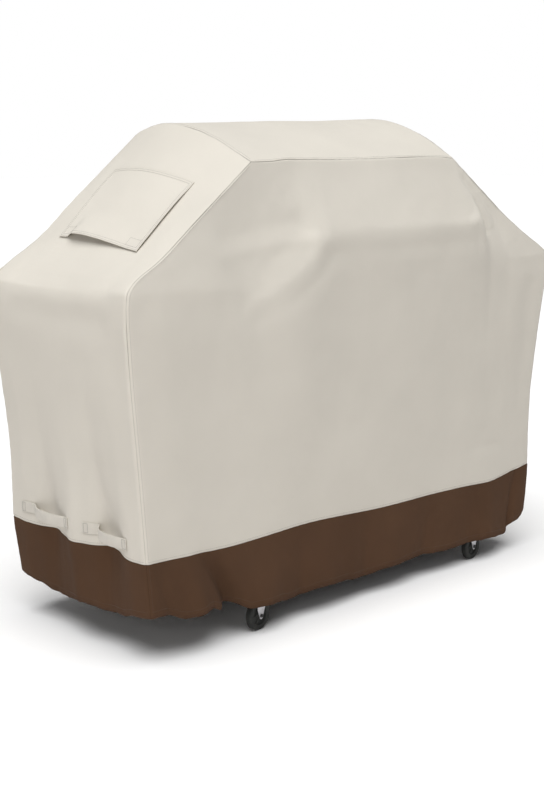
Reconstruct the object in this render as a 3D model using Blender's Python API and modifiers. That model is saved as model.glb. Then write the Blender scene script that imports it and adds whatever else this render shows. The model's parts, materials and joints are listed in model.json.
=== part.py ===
"""Fabric grill cover on the wheeled cart grill that it covers.

Frame: origin on the floor under the middle of the cover, +X to the right along the front,
-Y to the front, +Z up, metres. The cover is sewn from panels; the grill inside holds it up.
"""
import math

import bmesh
import bpy
from mathutils import Matrix, Vector
from mathutils.geometry import interpolate_bezier

# Cover: half sizes at the hem, at the colour border and at the shoulder corner.
HEM_LENGTH, HEM_WIDTH = 0.6935, 0.2670
BORDER_LENGTH, BORDER_WIDTH, BORDER_HEIGHT = 0.7070, 0.2755, 0.253
SHOULDER_LENGTH, SHOULDER_WIDTH, SHOULDER_HEIGHT = 0.7555, 0.2830, 0.865
SHOULDER_RADIUS, SHOULDER_STEPS = 0.045, 3
HEM_HEIGHT = 0.083            # lowest edge of the skirt, over the casters
HEM_HEIGHT_LEFT = 0.110       # the hem rides up towards the left end
HEM_SLOPE_START, HEM_SLOPE_END = -0.690, -0.450

# Hood: the raised middle of the cover, an arch from the front seam to the back seam.
HOOD_LEFT, HOOD_RIGHT = -0.331, 0.397
ARCH_FRONT = Vector((0.0, -0.212, 1.1365))
ARCH_FRONT_HANDLE = Vector((0.0, -0.085, 1.190))
ARCH_BACK_HANDLE = Vector((0.0, 0.115, 1.276))
ARCH_BACK = Vector((0.0, 0.222, 1.188))
ARCH_STEPS = 12
LEDGE_HEIGHT = 0.960          # the lid handle holds the front panel out up to here

CLOTH = 0.0015                # thickness of the coated cloth as a solid
SEAM_GAP = 0.0021             # what each panel stops short of its seam
TOUCH_GAP = 0.0003            # between pieces that rest on each other

# Vents, one on each slope: how far along the slope from front to back and from shoulder to hood.
VENT_FRONT, VENT_BACK = 0.185, 0.770
VENT_BOTTOM, VENT_TOP = 0.257, 0.715
VENT_ROOT = 0.695             # top edge of the part of the flap that swings
HINGE_LIFT = 0.008            # the flap's hinge line stands this far off the slope
VENT_HOLE_MARGIN = 0.045      # metres from the flap's edge to the opening under it
VENT_CUT_DEPTH = 0.010
MESH_OVERLAP = 0.012
MESH_THICKNESS = 0.001
FLAP_LIFT = 0.0034            # flap stands this far off the panel
FLAP_BOW = 0.014              # and its free edge bows out this much more
PATCH_SIZE = 0.028
PATCH_INSET = 0.026

# Webbing handles, two on each end panel, by the places of their sewn ends.
HANDLE_SPANS = {"front": (-0.212, -0.030), "back": (0.024, 0.218)}
HANDLE_HEIGHT = 0.296
HANDLE_WIDTH = 0.028
HANDLE_THICKNESS = 0.0018
HANDLE_TAB = 0.020            # length sewn flat at each end
HANDLE_BOW = 0.024
HANDLE_DROP = 0.006

# Cart: swivel axes of the casters, legs on the same centres.
CART_MIDDLE = 0.081
CASTER_SPREAD_X, CASTER_SPREAD_Y = 0.412, 0.2435
LEG_SIDE = 0.030
LEG_BOTTOM, LEG_TOP = 0.0950, 0.8120
TUBE_WALL = 0.002
SHELF_BOTTOM, SHELF_DEPTH = 0.146, 0.020
DECK_TOP = 0.842
FIREBOX_LEFT, FIREBOX_RIGHT, FIREBOX_DEPTH = -0.292, 0.372, 0.222
FIREBOX_BOTTOM, FIREBOX_TOP = 0.700, 0.930
SHEET_STEEL = 0.0015
LID_LEFT, LID_RIGHT, LID_DEPTH = -0.303, 0.383, 0.228
LID_SCALE_Y, LID_SCALE_Z = 0.965, 0.950
SIDE_SHELF_END, SIDE_SHELF_WIDTH, SIDE_SHELF_DEPTH = 0.682, 0.250, 0.026
BAR_RADIUS, BAR_LEFT, BAR_RIGHT = 0.011, -0.190, 0.375
BAR_DEPTH, BAR_HEIGHT = 0.2465, 0.965
POST_RADIUS, POST_INSET = 0.007, 0.045

# Casters.
WHEEL_RADIUS, WHEEL_WIDTH, WHEEL_SIDES = 0.038, 0.018, 24
WHEEL_BORE = 0.0046
TRAIL = 0.014
CASTER_TURN = math.radians(-8.0)    # the way the casters point at rest
FORK_TOP, FORK_CROWN, FORK_CROWN_RADIUS = 0.0904, 0.0050, 0.0170
FORK_SHOULDER, FORK_NECK = 0.0765, 0.0815   # below the first the cheeks are wide, above the second narrow
FORK_REAR, FORK_REAR_NECK, FORK_FRONT = -0.0212, -0.0155, 0.0145
FORK_GAP, FORK_PLATE = 0.0012, 0.0020
FORK_TIP = 0.0075
AXLE_RADIUS, AXLE_HEAD_RADIUS, AXLE_HEAD = 0.0041, 0.0062, 0.0022
AXLE_HOLE = 0.00425
PLATE_SIDE, PLATE_THICKNESS = 0.052, 0.0040
CASTERS = {"front_left": (-1, -1), "front_right": (1, -1), "back_left": (-1, 1), "back_right": (1, 1)}

SIDES = {"left": -1, "right": 1}
PALETTE = {
    "cream_cloth": ((0.79, 0.76, 0.70), 0.85, 0.0),
    "brown_cloth": ((0.095, 0.055, 0.033), 0.85, 0.0),
    "vent_net": ((0.05, 0.045, 0.04), 0.9, 0.0),
    "webbing": ((0.80, 0.77, 0.70), 0.8, 0.0),
    "fastener_tape": ((0.70, 0.67, 0.60), 0.95, 0.0),
    "painted_steel": ((0.03, 0.03, 0.032), 0.45, 0.2),
    "lid_enamel": ((0.02, 0.02, 0.022), 0.25, 0.2),
    "handle_steel": ((0.62, 0.62, 0.63), 0.30, 1.0),
    "zinc_steel": ((0.68, 0.68, 0.70), 0.35, 1.0),
    "caster_rubber": ((0.035, 0.036, 0.034), 0.6, 0.0),
}


def clear_scene():
    for item in list(bpy.data.objects):
        bpy.data.objects.remove(item, do_unlink=True)


def new_collection(name):
    collection = bpy.data.collections.new(name)
    bpy.context.scene.collection.children.link(collection)
    return collection


def material(name):
    """The shared Principled material of one finish."""
    found = bpy.data.materials.get(name)
    if found:
        return found
    colour, roughness, metallic = PALETTE[name]
    made = bpy.data.materials.new(name)
    made.use_nodes = True
    shader = made.node_tree.nodes["Principled BSDF"]
    shader.inputs["Base Color"].default_value = (*colour, 1.0)
    shader.inputs["Roughness"].default_value = roughness
    shader.inputs["Metallic"].default_value = metallic
    made.diffuse_color = (*colour, 1.0)
    return made


def add_object(name, shape, finish, collection):
    """Turn a bmesh into a named object with its own copy of the finish."""
    data = bpy.data.meshes.new(name)
    shape.to_mesh(data)
    shape.free()
    item = bpy.data.objects.new(name, data)
    data.materials.append(material(finish))
    collection.objects.link(item)
    return item


def lerp(start, end, share):
    return start + (end - start) * share


def spread(count, length, gap=SEAM_GAP):
    """Shares from 0 to 1 in equal steps, both ends held back by a gap in metres."""
    margin = gap / length
    return [lerp(margin, 1.0 - margin, index / (count - 1)) for index in range(count)]


def thicken(item, thickness):
    """Give an open surface its thickness, behind the face it was drawn on."""
    solid = item.modifiers.new("thickness", "SOLIDIFY")
    solid.thickness = thickness
    solid.offset = -1.0
    solid.use_even_offset = True


def patch(name, columns, rows, surface, finish, collection, thickness=CLOTH):
    """A grid laid over surface(column, row), thickened to the inside."""
    shape = bmesh.new()
    column_steps, row_steps = len(columns) - 1, len(rows) - 1
    bmesh.ops.create_grid(shape, x_segments=column_steps, y_segments=row_steps, size=0.5)
    for vertex in shape.verts:
        column = columns[round((vertex.co.x + 0.5) * column_steps)]
        row = rows[round((vertex.co.y + 0.5) * row_steps)]
        vertex.co = surface(column, row)
    item = add_object(name, shape, finish, collection)
    thicken(item, thickness)
    return item


# ---- the cover's surface ----

def arch_points():
    return interpolate_bezier(ARCH_FRONT, ARCH_FRONT_HANDLE, ARCH_BACK_HANDLE, ARCH_BACK, ARCH_STEPS + 1)


def arch(share):
    """Point of the hood's arch, share running from the front seam to the back seam."""
    points = arch_points()
    place = min(max(share, 0.0), 1.0) * ARCH_STEPS
    index = min(int(place), ARCH_STEPS - 1)
    return points[index].lerp(points[index + 1], place - index)


def shoulder_profile(side):
    """Front seam of one end as (length, height, rise): up the side, round the shoulder, up the slope."""
    hood = abs(HOOD_LEFT if side < 0 else HOOD_RIGHT)
    border = Vector((BORDER_LENGTH, BORDER_HEIGHT))
    corner = Vector((SHOULDER_LENGTH, SHOULDER_HEIGHT))
    top = Vector((hood, ARCH_FRONT.z))
    down, up = (border - corner).normalized(), (top - corner).normalized()
    half_turn = (math.pi - down.angle(up)) / 2.0
    reach = SHOULDER_RADIUS * math.tan(half_turn)
    start, end = corner + down * reach, corner + up * reach
    centre = corner + (down + up).normalized() * (SHOULDER_RADIUS / math.cos(half_turn))
    side_line = [border.lerp(start, share) for share in (0.0, 0.4, 0.8)]
    first = math.atan2(start.y - centre.y, start.x - centre.x)
    last = math.atan2(end.y - centre.y, end.x - centre.x)
    angles = [lerp(first, last, index / SHOULDER_STEPS) for index in range(SHOULDER_STEPS + 1)]
    bend = [centre + SHOULDER_RADIUS * Vector((math.cos(angle), math.sin(angle))) for angle in angles]
    slope_line = [end.lerp(top, share) for share in (0.2, 0.4, 0.6, 0.8, 1.0)]
    profile = [(point.x, point.y, 0.0) for point in side_line]
    for point in bend + slope_line:
        rise = max(0.0, (SHOULDER_LENGTH - point.x) / (SHOULDER_LENGTH - hood))
        profile.append((point.x, point.y, rise))
    return profile


def half_width(height):
    """Half of the cover's width below the shoulder."""
    if height < BORDER_HEIGHT:
        share = (height - HEM_HEIGHT) / (BORDER_HEIGHT - HEM_HEIGHT)
        return lerp(HEM_WIDTH, BORDER_WIDTH, share)
    share = min(1.0, (height - BORDER_HEIGHT) / (SHOULDER_HEIGHT - BORDER_HEIGHT))
    return lerp(BORDER_WIDTH, SHOULDER_WIDTH, share)


def half_length(height):
    """Half of the cover's length below the border."""
    return lerp(HEM_LENGTH, BORDER_LENGTH, (height - HEM_HEIGHT) / (BORDER_HEIGHT - HEM_HEIGHT))


def end_point(side, along, seam):
    """Point of an end panel; along runs from the front seam, 0, to the back seam, 1."""
    length, height, rise = seam
    over = arch(along)
    depth = lerp(lerp(-1.0, 1.0, along) * half_width(height), over.y, rise)
    return Vector((side * length, depth, height + (over.z - ARCH_FRONT.z) * rise))


def slope_point(side, along, rise, proud=0.0):
    """Point of the straight slope, moved out along the slope's normal."""
    def seam(level):
        hood = abs(HOOD_LEFT if side < 0 else HOOD_RIGHT)
        return lerp(SHOULDER_LENGTH, hood, level), lerp(SHOULDER_HEIGHT, ARCH_FRONT.z, level), level

    step = 0.01
    point = end_point(side, along, seam(rise))
    across = end_point(side, along + step, seam(rise)) - end_point(side, along - step, seam(rise))
    upward = end_point(side, along, seam(rise + step)) - end_point(side, along, seam(rise - step))
    normal = across.cross(upward).normalized() * side
    return point + normal * proud


def slope_spans(side):
    """Lengths in metres of the vent's width and height on the slope."""
    middle_rise = (VENT_BOTTOM + VENT_TOP) / 2.0
    middle = (VENT_FRONT + VENT_BACK) / 2.0
    width = slope_point(side, VENT_BACK, middle_rise) - slope_point(side, VENT_FRONT, middle_rise)
    height = slope_point(side, middle, VENT_TOP) - slope_point(side, middle, VENT_BOTTOM)
    return width.length, height.length


def held_out_depth(height):
    """How far forward the middle of the front panel hangs above the shoulder."""
    lean = max(0.0, (height - LEDGE_HEIGHT) / (ARCH_FRONT.z - LEDGE_HEIGHT))
    return lerp(SHOULDER_WIDTH, -ARCH_FRONT.y, lean)


def front_back_point(edge, across, index, profiles):
    """Point of the front (edge 0) or back (edge 1) panel; across runs from one end seam to the other."""
    left = end_point(-1, edge, profiles[-1][index])
    right = end_point(1, edge, profiles[1][index])
    point = left.lerp(right, across)
    if edge == 0 and point.z > SHOULDER_HEIGHT:
        point.y = lerp(point.y, -held_out_depth(point.z), math.sin(math.pi * across))
    return point


def hem_height(length):
    share = min(1.0, max(0.0, (length - HEM_SLOPE_START) / (HEM_SLOPE_END - HEM_SLOPE_START)))
    return lerp(HEM_HEIGHT_LEFT, HEM_HEIGHT, share)


def skirt_point(corners, across, drop):
    """Point of a skirt panel; corners are the signs of its two ends, drop runs up from the hem."""
    def corner(signs, height):
        return Vector((signs[0] * half_length(height), signs[1] * half_width(height), height))

    flat = corner(corners[0], BORDER_HEIGHT).lerp(corner(corners[1], BORDER_HEIGHT), across)
    height = lerp(hem_height(flat.x), BORDER_HEIGHT, drop)
    return corner(corners[0], height).lerp(corner(corners[1], height), across)


# ---- sewn panels ----

def pull_back(profile):
    """Hold the first and last points of a profile back from their seams."""
    first, second = profile[0], profile[1]
    share = SEAM_GAP / (second[1] - first[1])
    start = tuple(lerp(a, b, share) for a, b in zip(first, second))
    before, last = profile[-2], profile[-1]
    share = 1.0 - SEAM_GAP / math.hypot(last[0] - before[0], last[1] - before[1])
    end = tuple(lerp(a, b, share) for a, b in zip(before, last))
    return [start, *profile[1:-1], end]


def make_upper_panels(collection):
    """Front, back, top and the two end panels of cream cloth."""
    profiles = {side: pull_back(shoulder_profile(side)) for side in (-1, 1)}
    rows = list(range(len(profiles[-1])))
    across = spread(9, HOOD_RIGHT - HOOD_LEFT)
    along = spread(ARCH_STEPS + 1, ARCH_BACK.y - ARCH_FRONT.y)

    def hood_point(across_share, along_share):
        return arch(along_share) + Vector((lerp(HOOD_LEFT, HOOD_RIGHT, across_share), 0.0, 0.0))

    patch("front_panel", across, rows, lambda u, row: front_back_point(0, u, row, profiles),
          "cream_cloth", collection)
    patch("back_panel", across[::-1], rows, lambda u, row: front_back_point(1, u, row, profiles),
          "cream_cloth", collection)
    patch("top_panel", across, along, hood_point, "cream_cloth", collection)
    patch("left_end_panel", along[::-1], rows, lambda v, row: end_point(-1, v, profiles[-1][row]),
          "cream_cloth", collection)
    patch("right_end_panel", along, rows, lambda v, row: end_point(1, v, profiles[1][row]),
          "cream_cloth", collection)


def make_skirts(collection):
    """The brown skirt, one panel to a side, with the hem as its lower edge."""
    panels = {
        "front": ((-1, -1), (1, -1)),
        "right": ((1, -1), (1, 1)),
        "back": ((1, 1), (-1, 1)),
        "left": ((-1, 1), (-1, -1)),
    }
    for place, corners in panels.items():
        long_side = place in ("front", "back")
        length = 2.0 * (BORDER_LENGTH if long_side else BORDER_WIDTH)
        drop = spread(3, BORDER_HEIGHT - HEM_HEIGHT, TOUCH_GAP)
        patch(f"skirt_{place}", spread(13 if long_side else 5, length), drop,
              lambda u, v, ends=corners: skirt_point(ends, u, v), "brown_cloth", collection)


# ---- vents ----

def vent_shares(side, margin):
    """The vent's four limits on the slope, all moved in by a margin in metres."""
    width, height = slope_spans(side)
    along = margin * (VENT_BACK - VENT_FRONT) / width
    rise = margin * (VENT_TOP - VENT_BOTTOM) / height
    return VENT_FRONT + along, VENT_BACK - along, VENT_BOTTOM + rise, VENT_TOP - rise


def vent_patch(name, side, limits, counts, proud, finish, collection, thickness):
    """A piece of sheet that follows the slope between the limits."""
    front, back, bottom, top = limits
    columns = [lerp(front, back, index / (counts[0] - 1)) for index in range(counts[0])]
    rows = [lerp(bottom, top, index / (counts[1] - 1)) for index in range(counts[1])]
    if side < 0:
        columns.reverse()
    return patch(name, columns, rows, lambda v, w: slope_point(side, v, w, proud(v, w)),
                 finish, collection, thickness)


def flap_proud(along, rise):
    """How far the flap stands off: its sides lie flat and the middle of its free edge bows out."""
    across = (along - VENT_FRONT) / (VENT_BACK - VENT_FRONT)
    fall = (VENT_ROOT - rise) / (VENT_ROOT - VENT_BOTTOM)
    return FLAP_LIFT + CLOTH + FLAP_BOW * math.sin(math.pi * across) ** 2 * fall ** 2


def cut_vent_hole(side, panel, collection, cutters):
    cutter = vent_patch(f"vent_cutter_{panel.name}", side, vent_shares(side, VENT_HOLE_MARGIN), (7, 5),
                        lambda v, w: VENT_CUT_DEPTH / 2.0, "cream_cloth", cutters, VENT_CUT_DEPTH)
    cutter.hide_render = True
    cutter.display_type = "WIRE"
    cut = panel.modifiers.new("vent_hole", "BOOLEAN")
    cut.operation = "DIFFERENCE"
    cut.object = cutter


def make_vents(collection, cutters):
    """A mesh-covered hole on each slope, under a flap that lifts, with fastener patches at its corners."""
    for place, side in SIDES.items():
        cut_vent_hole(side, collection.objects[f"{place}_end_panel"], collection, cutters)
        mesh_limits = vent_shares(side, VENT_HOLE_MARGIN - MESH_OVERLAP)
        vent_patch(f"vent_mesh_{place}", side, mesh_limits, (7, 5), lambda v, w: -CLOTH - 2.0 * TOUCH_GAP,
                   "vent_net", collection, MESH_THICKNESS)
        flap = vent_patch(f"vent_flap_{place}", side, (VENT_FRONT, VENT_BACK, VENT_BOTTOM, VENT_ROOT),
                          (13, 7), flap_proud, "cream_cloth", collection, CLOTH)
        hang_on_hinge(side, flap, collection)
        make_fastener_patches(place, side, collection)


def hang_on_hinge(side, flap, collection):
    """Parent a flap to an empty on its hinge line, whose Y axis lies along the line."""
    front = slope_point(side, VENT_FRONT, VENT_TOP, HINGE_LIFT)
    back = slope_point(side, VENT_BACK, VENT_TOP, HINGE_LIFT)
    hinge = bpy.data.objects.new(f"{flap.name}_hinge", None)
    collection.objects.link(hinge)
    turn = Vector((0.0, 1.0, 0.0)).rotation_difference(back - front).to_matrix().to_4x4()
    hinge.matrix_world = Matrix.Translation((front + back) / 2.0) @ turn
    flap.parent = hinge
    flap.matrix_parent_inverse = hinge.matrix_world.inverted()


def make_fastener_patches(place, side, collection):
    """Hook-and-loop patches sewn to the slope under the two lower corners of the flap."""
    width, height = slope_spans(side)
    along_step = PATCH_SIZE / width * (VENT_BACK - VENT_FRONT)
    rise_step = PATCH_SIZE / height * (VENT_TOP - VENT_BOTTOM)
    along_inset = along_step * (PATCH_INSET / PATCH_SIZE - 0.5)
    bottom = VENT_BOTTOM + rise_step * (PATCH_INSET / PATCH_SIZE - 0.5)
    starts = {"front": VENT_FRONT + along_inset, "back": VENT_BACK - along_inset - along_step}
    thickness = FLAP_LIFT - 4.0 * TOUCH_GAP
    for end, start in starts.items():
        limits = (start, start + along_step, bottom, bottom + rise_step)
        vent_patch(f"vent_patch_{place}_{end}", side, limits, (2, 2),
                   lambda v, w: TOUCH_GAP * 2.0 + thickness, "fastener_tape", collection, thickness)


# ---- webbing handles ----

def handle_path(side, start, end, share):
    """Middle line of a handle: flat tabs at both ends, the rest bowed out and hanging a little."""
    depth = lerp(start, end, share)
    tab = HANDLE_TAB / (end - start)
    free = min(1.0, max(0.0, (share - tab) / (1.0 - 2.0 * tab)))
    bow = math.sin(math.pi * free) ** 2
    height = HANDLE_HEIGHT - HANDLE_DROP * bow
    return depth, height, 2.0 * TOUCH_GAP + HANDLE_THICKNESS + HANDLE_BOW * bow


def end_face(depth, height, proud, side):
    """Point off the flat lower part of an end panel."""
    share = (height - BORDER_HEIGHT) / (SHOULDER_HEIGHT - BORDER_HEIGHT)
    return Vector((side * (lerp(BORDER_LENGTH, SHOULDER_LENGTH, share) + proud), depth, height))


def make_handles(collection):
    for place, side in SIDES.items():
        for end, (start, stop) in HANDLE_SPANS.items():
            def strap(share, level, side=side, start=start, stop=stop):
                depth, height, proud = handle_path(side, start, stop, share)
                return end_face(depth, height + level * HANDLE_WIDTH / 2.0, proud, side)

            shares = [index / 16 for index in range(17)]
            if side < 0:
                shares.reverse()
            patch(f"handle_{place}_{end}", shares, [-1.0, 1.0], strap, "webbing", collection,
                  HANDLE_THICKNESS)


# ---- the grill's body ----

def block(low, high):
    """A rectangular block between two corners, as a bmesh."""
    low, high = Vector(low), Vector(high)
    shape = bmesh.new()
    place = Matrix.Translation((low + high) / 2.0) @ Matrix.Diagonal((*(high - low), 1.0))
    bmesh.ops.create_cube(shape, size=1.0, matrix=place)
    return shape


def tray(name, low, high, open_side, finish, collection, thickness):
    """A folded sheet-metal box between two corners, without its top (1) or its bottom (-1)."""
    shape = block(low, high)
    mouth = [face for face in shape.faces if face.normal.z * open_side > 0.5]
    bmesh.ops.delete(shape, geom=mouth, context="FACES")
    item = add_object(name, shape, finish, collection)
    thicken(item, thickness)
    return item


def cylinder(shape, radius, start, end, sides):
    """Add a capped cylinder between two points to a bmesh."""
    axis = Vector(end) - Vector(start)
    turn = Vector((0.0, 0.0, 1.0)).rotation_difference(axis).to_matrix().to_4x4()
    place = Matrix.Translation((Vector(start) + Vector(end)) / 2.0) @ turn
    bmesh.ops.create_cone(shape, cap_ends=True, segments=sides, radius1=radius, radius2=radius,
                          depth=axis.length, matrix=place)


def prism(outline, sweep):
    """A bmesh solid: an outline swept along a vector."""
    shape = bmesh.new()
    face = shape.faces.new([shape.verts.new(point) for point in outline])
    swept = bmesh.ops.extrude_face_region(shape, geom=[face])["geom"]
    moved = [part for part in swept if isinstance(part, bmesh.types.BMVert)]
    bmesh.ops.translate(shape, verts=moved, vec=sweep)
    bmesh.ops.recalc_face_normals(shape, faces=shape.faces)
    return shape


def combine(item, other_shape, name, operation, cutters):
    """Join or cut an object with another shape, exactly."""
    tool = add_object(name, other_shape, "painted_steel", cutters)
    tool.hide_render = True
    tool.display_type = "WIRE"
    modifier = item.modifiers.new(name, "BOOLEAN")
    modifier.operation = operation
    modifier.object = tool


def make_legs(collection, cutters):
    """Square tubes, open at both ends."""
    half = LEG_SIDE / 2.0
    bore = half - TUBE_WALL
    for place, (sign_x, sign_y) in CASTERS.items():
        x, y = CART_MIDDLE + sign_x * CASTER_SPREAD_X, sign_y * CASTER_SPREAD_Y
        tube = block((x - half, y - half, LEG_BOTTOM), (x + half, y + half, LEG_TOP))
        leg = add_object(f"leg_{place}", tube, "painted_steel", collection)
        hollow = block((x - bore, y - bore, LEG_BOTTOM - half), (x + bore, y + bore, LEG_TOP + half))
        combine(leg, hollow, f"leg_bore_{place}", "DIFFERENCE", cutters)


def make_shelves(collection, cutters):
    """Bottom shelf, deck frame round the firebox and the two side shelves, all folded from sheet."""
    half = LEG_SIDE / 2.0
    inner = CASTER_SPREAD_X - half - TOUCH_GAP
    outer_x, outer_y = CASTER_SPREAD_X + half, CASTER_SPREAD_Y + half
    shelf_top = SHELF_BOTTOM + SHELF_DEPTH
    tray("bottom_shelf", (CART_MIDDLE - inner, -outer_y, SHELF_BOTTOM),
         (CART_MIDDLE + inner, outer_y, shelf_top), -1, "painted_steel", collection, SHEET_STEEL)
    deck = tray("deck_frame", (CART_MIDDLE - outer_x, -outer_y, LEG_TOP + TOUCH_GAP),
                (CART_MIDDLE + outer_x, outer_y, DECK_TOP), -1, "painted_steel", collection, SHEET_STEEL)
    room = 2.0 * TOUCH_GAP
    hole = block((FIREBOX_LEFT - room, -FIREBOX_DEPTH - room, LEG_TOP - LEG_SIDE),
                 (FIREBOX_RIGHT + room, FIREBOX_DEPTH + room, DECK_TOP + LEG_SIDE))
    combine(deck, hole, "firebox_hole", "DIFFERENCE", cutters)
    deck_end = outer_x + TOUCH_GAP
    spans = {
        "left": (-SIDE_SHELF_END, CART_MIDDLE - deck_end),
        "right": (CART_MIDDLE + deck_end, SIDE_SHELF_END),
    }
    for place, (low, high) in spans.items():
        tray(f"side_shelf_{place}", (low, -SIDE_SHELF_WIDTH, DECK_TOP - SIDE_SHELF_DEPTH),
             (high, SIDE_SHELF_WIDTH, DECK_TOP), -1, "painted_steel", collection, SHEET_STEEL)


def make_firebox(collection):
    """A sheet-steel tray, open at the top."""
    tray("firebox", (FIREBOX_LEFT, -FIREBOX_DEPTH, FIREBOX_BOTTOM),
         (FIREBOX_RIGHT, FIREBOX_DEPTH, FIREBOX_TOP), 1, "painted_steel", collection, SHEET_STEEL)


def lid_outline(inset):
    """Side outline of the lid, from the front rim over the top to the back rim."""
    foot = FIREBOX_TOP + TOUCH_GAP
    points = [Vector((0.0, -LID_DEPTH + inset, foot - 2.0 * inset))]
    for point in arch_points()[::2]:
        lifted = foot + (point.z - foot) * LID_SCALE_Z - inset
        points.append(Vector((0.0, point.y * LID_SCALE_Y * (1.0 - inset / LID_DEPTH), lifted)))
    points.append(Vector((0.0, LID_DEPTH - inset, foot - 2.0 * inset)))
    return points


def make_lid(collection, cutters):
    """A hollow lid with closed ends, its handle bar and the bar's two posts."""
    length = LID_RIGHT - LID_LEFT
    shift = Vector((LID_LEFT, 0.0, 0.0))
    shell = prism([point + shift for point in lid_outline(0.0)], Vector((length, 0.0, 0.0)))
    lid = add_object("lid", shell, "lid_enamel", collection)
    wall = Vector((SHEET_STEEL, 0.0, 0.0))
    hollow = prism([point + shift + wall for point in lid_outline(SHEET_STEEL)],
                   Vector((length, 0.0, 0.0)) - 2.0 * wall)
    combine(lid, hollow, "lid_hollow", "DIFFERENCE", cutters)

    bar = bmesh.new()
    cylinder(bar, BAR_RADIUS, (BAR_LEFT, -BAR_DEPTH, BAR_HEIGHT), (BAR_RIGHT, -BAR_DEPTH, BAR_HEIGHT), 16)
    add_object("lid_handle_bar", bar, "handle_steel", collection)
    rim, crown = lid_outline(0.0)[0], lid_outline(0.0)[1]
    share = (BAR_HEIGHT + POST_RADIUS - rim.z) / (crown.z - rim.z)
    face_depth = -rim.lerp(crown, share).y
    for place, x in (("left", BAR_LEFT + POST_INSET), ("right", BAR_RIGHT - POST_INSET)):
        post = bmesh.new()
        near = -face_depth - 3.0 * TOUCH_GAP - POST_RADIUS * 0.2
        far = -BAR_DEPTH + BAR_RADIUS + TOUCH_GAP
        cylinder(post, POST_RADIUS, (x, near, BAR_HEIGHT), (x, far, BAR_HEIGHT), 12)
        add_object(f"lid_handle_post_{place}", post, "handle_steel", collection)


# ---- casters ----

def wheel_profile():
    """Half section of the wheel as (radius, place along the axle), rim rounded, hub a little proud."""
    half = WHEEL_WIDTH / 2.0
    web, hub, edge = 0.0015, 0.0110, 0.0040
    rim_inner = WHEEL_RADIUS - 0.009
    right_side = [(WHEEL_BORE, half), (hub, half), (hub + web, half - web), (rim_inner - web, half - web),
                  (rim_inner, half), (WHEEL_RADIUS - edge, half), (WHEEL_RADIUS, half - edge)]
    return right_side + [(radius, -place) for radius, place in reversed(right_side)]


def caster_frame(position):
    """Matrix of a caster at rest: origin on the swivel axis at floor level, local Y along the axle."""
    return Matrix.Translation(position) @ Matrix.Rotation(-CASTER_TURN, 4, "Z")


def make_wheel(name, frame, collection):
    """A turned wheel with flats on its tread, one flat on the floor."""
    shape = bmesh.new()
    flat_radius = 1.0 / math.cos(math.pi / WHEEL_SIDES)
    ring = [shape.verts.new((radius * (flat_radius if radius > WHEEL_BORE else 1.0), place, 0.0))
            for radius, place in wheel_profile()]
    edges = [shape.edges.new((ring[index], ring[(index + 1) % len(ring)])) for index in range(len(ring))]
    bmesh.ops.spin(shape, geom=edges, cent=(0.0, 0.0, 0.0), axis=(0.0, 1.0, 0.0),
                   angle=2.0 * math.pi, steps=WHEEL_SIDES, use_merge=True)
    bmesh.ops.rotate(shape, verts=shape.verts,
                     matrix=Matrix.Rotation(math.pi / WHEEL_SIDES, 3, "Y"))
    bmesh.ops.recalc_face_normals(shape, faces=shape.faces)
    item = add_object(name, shape, "caster_rubber", collection)
    item.data.shade_smooth()
    item.data.set_sharp_from_angle(angle=math.radians(35.0))
    item.matrix_world = frame @ Matrix.Translation((-TRAIL, 0.0, WHEEL_RADIUS))
    return item


def fork_plate(offset):
    """One V-shaped cheek of a fork, from the crown down round the axle."""
    crown_bottom = FORK_TOP - FORK_CROWN
    tip = [Vector((-TRAIL + FORK_TIP * math.cos(angle), offset, WHEEL_RADIUS + FORK_TIP * math.sin(angle)))
           for angle in (math.radians(value) for value in (-160, -125, -90, -55, -20))]
    top = crown_bottom + FORK_CROWN / 2.0
    sides = [(FORK_FRONT, top), (FORK_REAR_NECK, top), (FORK_REAR_NECK, FORK_NECK),
             (FORK_REAR, FORK_SHOULDER)]
    outline = tip + [Vector((along, offset, height)) for along, height in sides]
    return prism(outline, Vector((0.0, FORK_PLATE, 0.0)))


def make_fork(place, frame, collection, cutters):
    """Crown and two cheeks in one pressing, drilled for the axle."""
    crown = bmesh.new()
    cylinder(crown, FORK_CROWN_RADIUS, (0.0, 0.0, FORK_TOP - FORK_CROWN), (0.0, 0.0, FORK_TOP), 24)
    fork = add_object(f"caster_fork_{place}", crown, "zinc_steel", collection)
    inner = WHEEL_WIDTH / 2.0 + FORK_GAP
    for label, offset in (("near", -inner - FORK_PLATE), ("far", inner)):
        combine(fork, fork_plate(offset), f"fork_cheek_{label}_{place}", "UNION", cutters)
    drill = bmesh.new()
    cylinder(drill, AXLE_HOLE, (-TRAIL, -WHEEL_WIDTH, WHEEL_RADIUS), (-TRAIL, WHEEL_WIDTH, WHEEL_RADIUS), 16)
    combine(fork, drill, f"fork_drill_{place}", "DIFFERENCE", cutters)
    for item in [fork] + [modifier.object for modifier in fork.modifiers]:
        item.matrix_world = frame


def make_axle(place, frame, collection, cutters):
    """A headed bolt through the fork and the wheel's bore."""
    reach = WHEEL_WIDTH / 2.0 + FORK_GAP + FORK_PLATE + TOUCH_GAP
    shank = bmesh.new()
    cylinder(shank, AXLE_RADIUS, (-TRAIL, -reach - AXLE_HEAD / 2.0, WHEEL_RADIUS),
             (-TRAIL, reach + AXLE_HEAD / 2.0, WHEEL_RADIUS), 16)
    axle = add_object(f"caster_axle_{place}", shank, "zinc_steel", collection)
    for label, sign in (("head", -1.0), ("nut", 1.0)):
        cap = bmesh.new()
        cylinder(cap, AXLE_HEAD_RADIUS, (-TRAIL, sign * reach, WHEEL_RADIUS),
                 (-TRAIL, sign * (reach + AXLE_HEAD), WHEEL_RADIUS), 12)
        combine(axle, cap, f"axle_{label}_{place}", "UNION", cutters)
    for item in [axle] + [modifier.object for modifier in axle.modifiers]:
        item.matrix_world = frame


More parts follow.
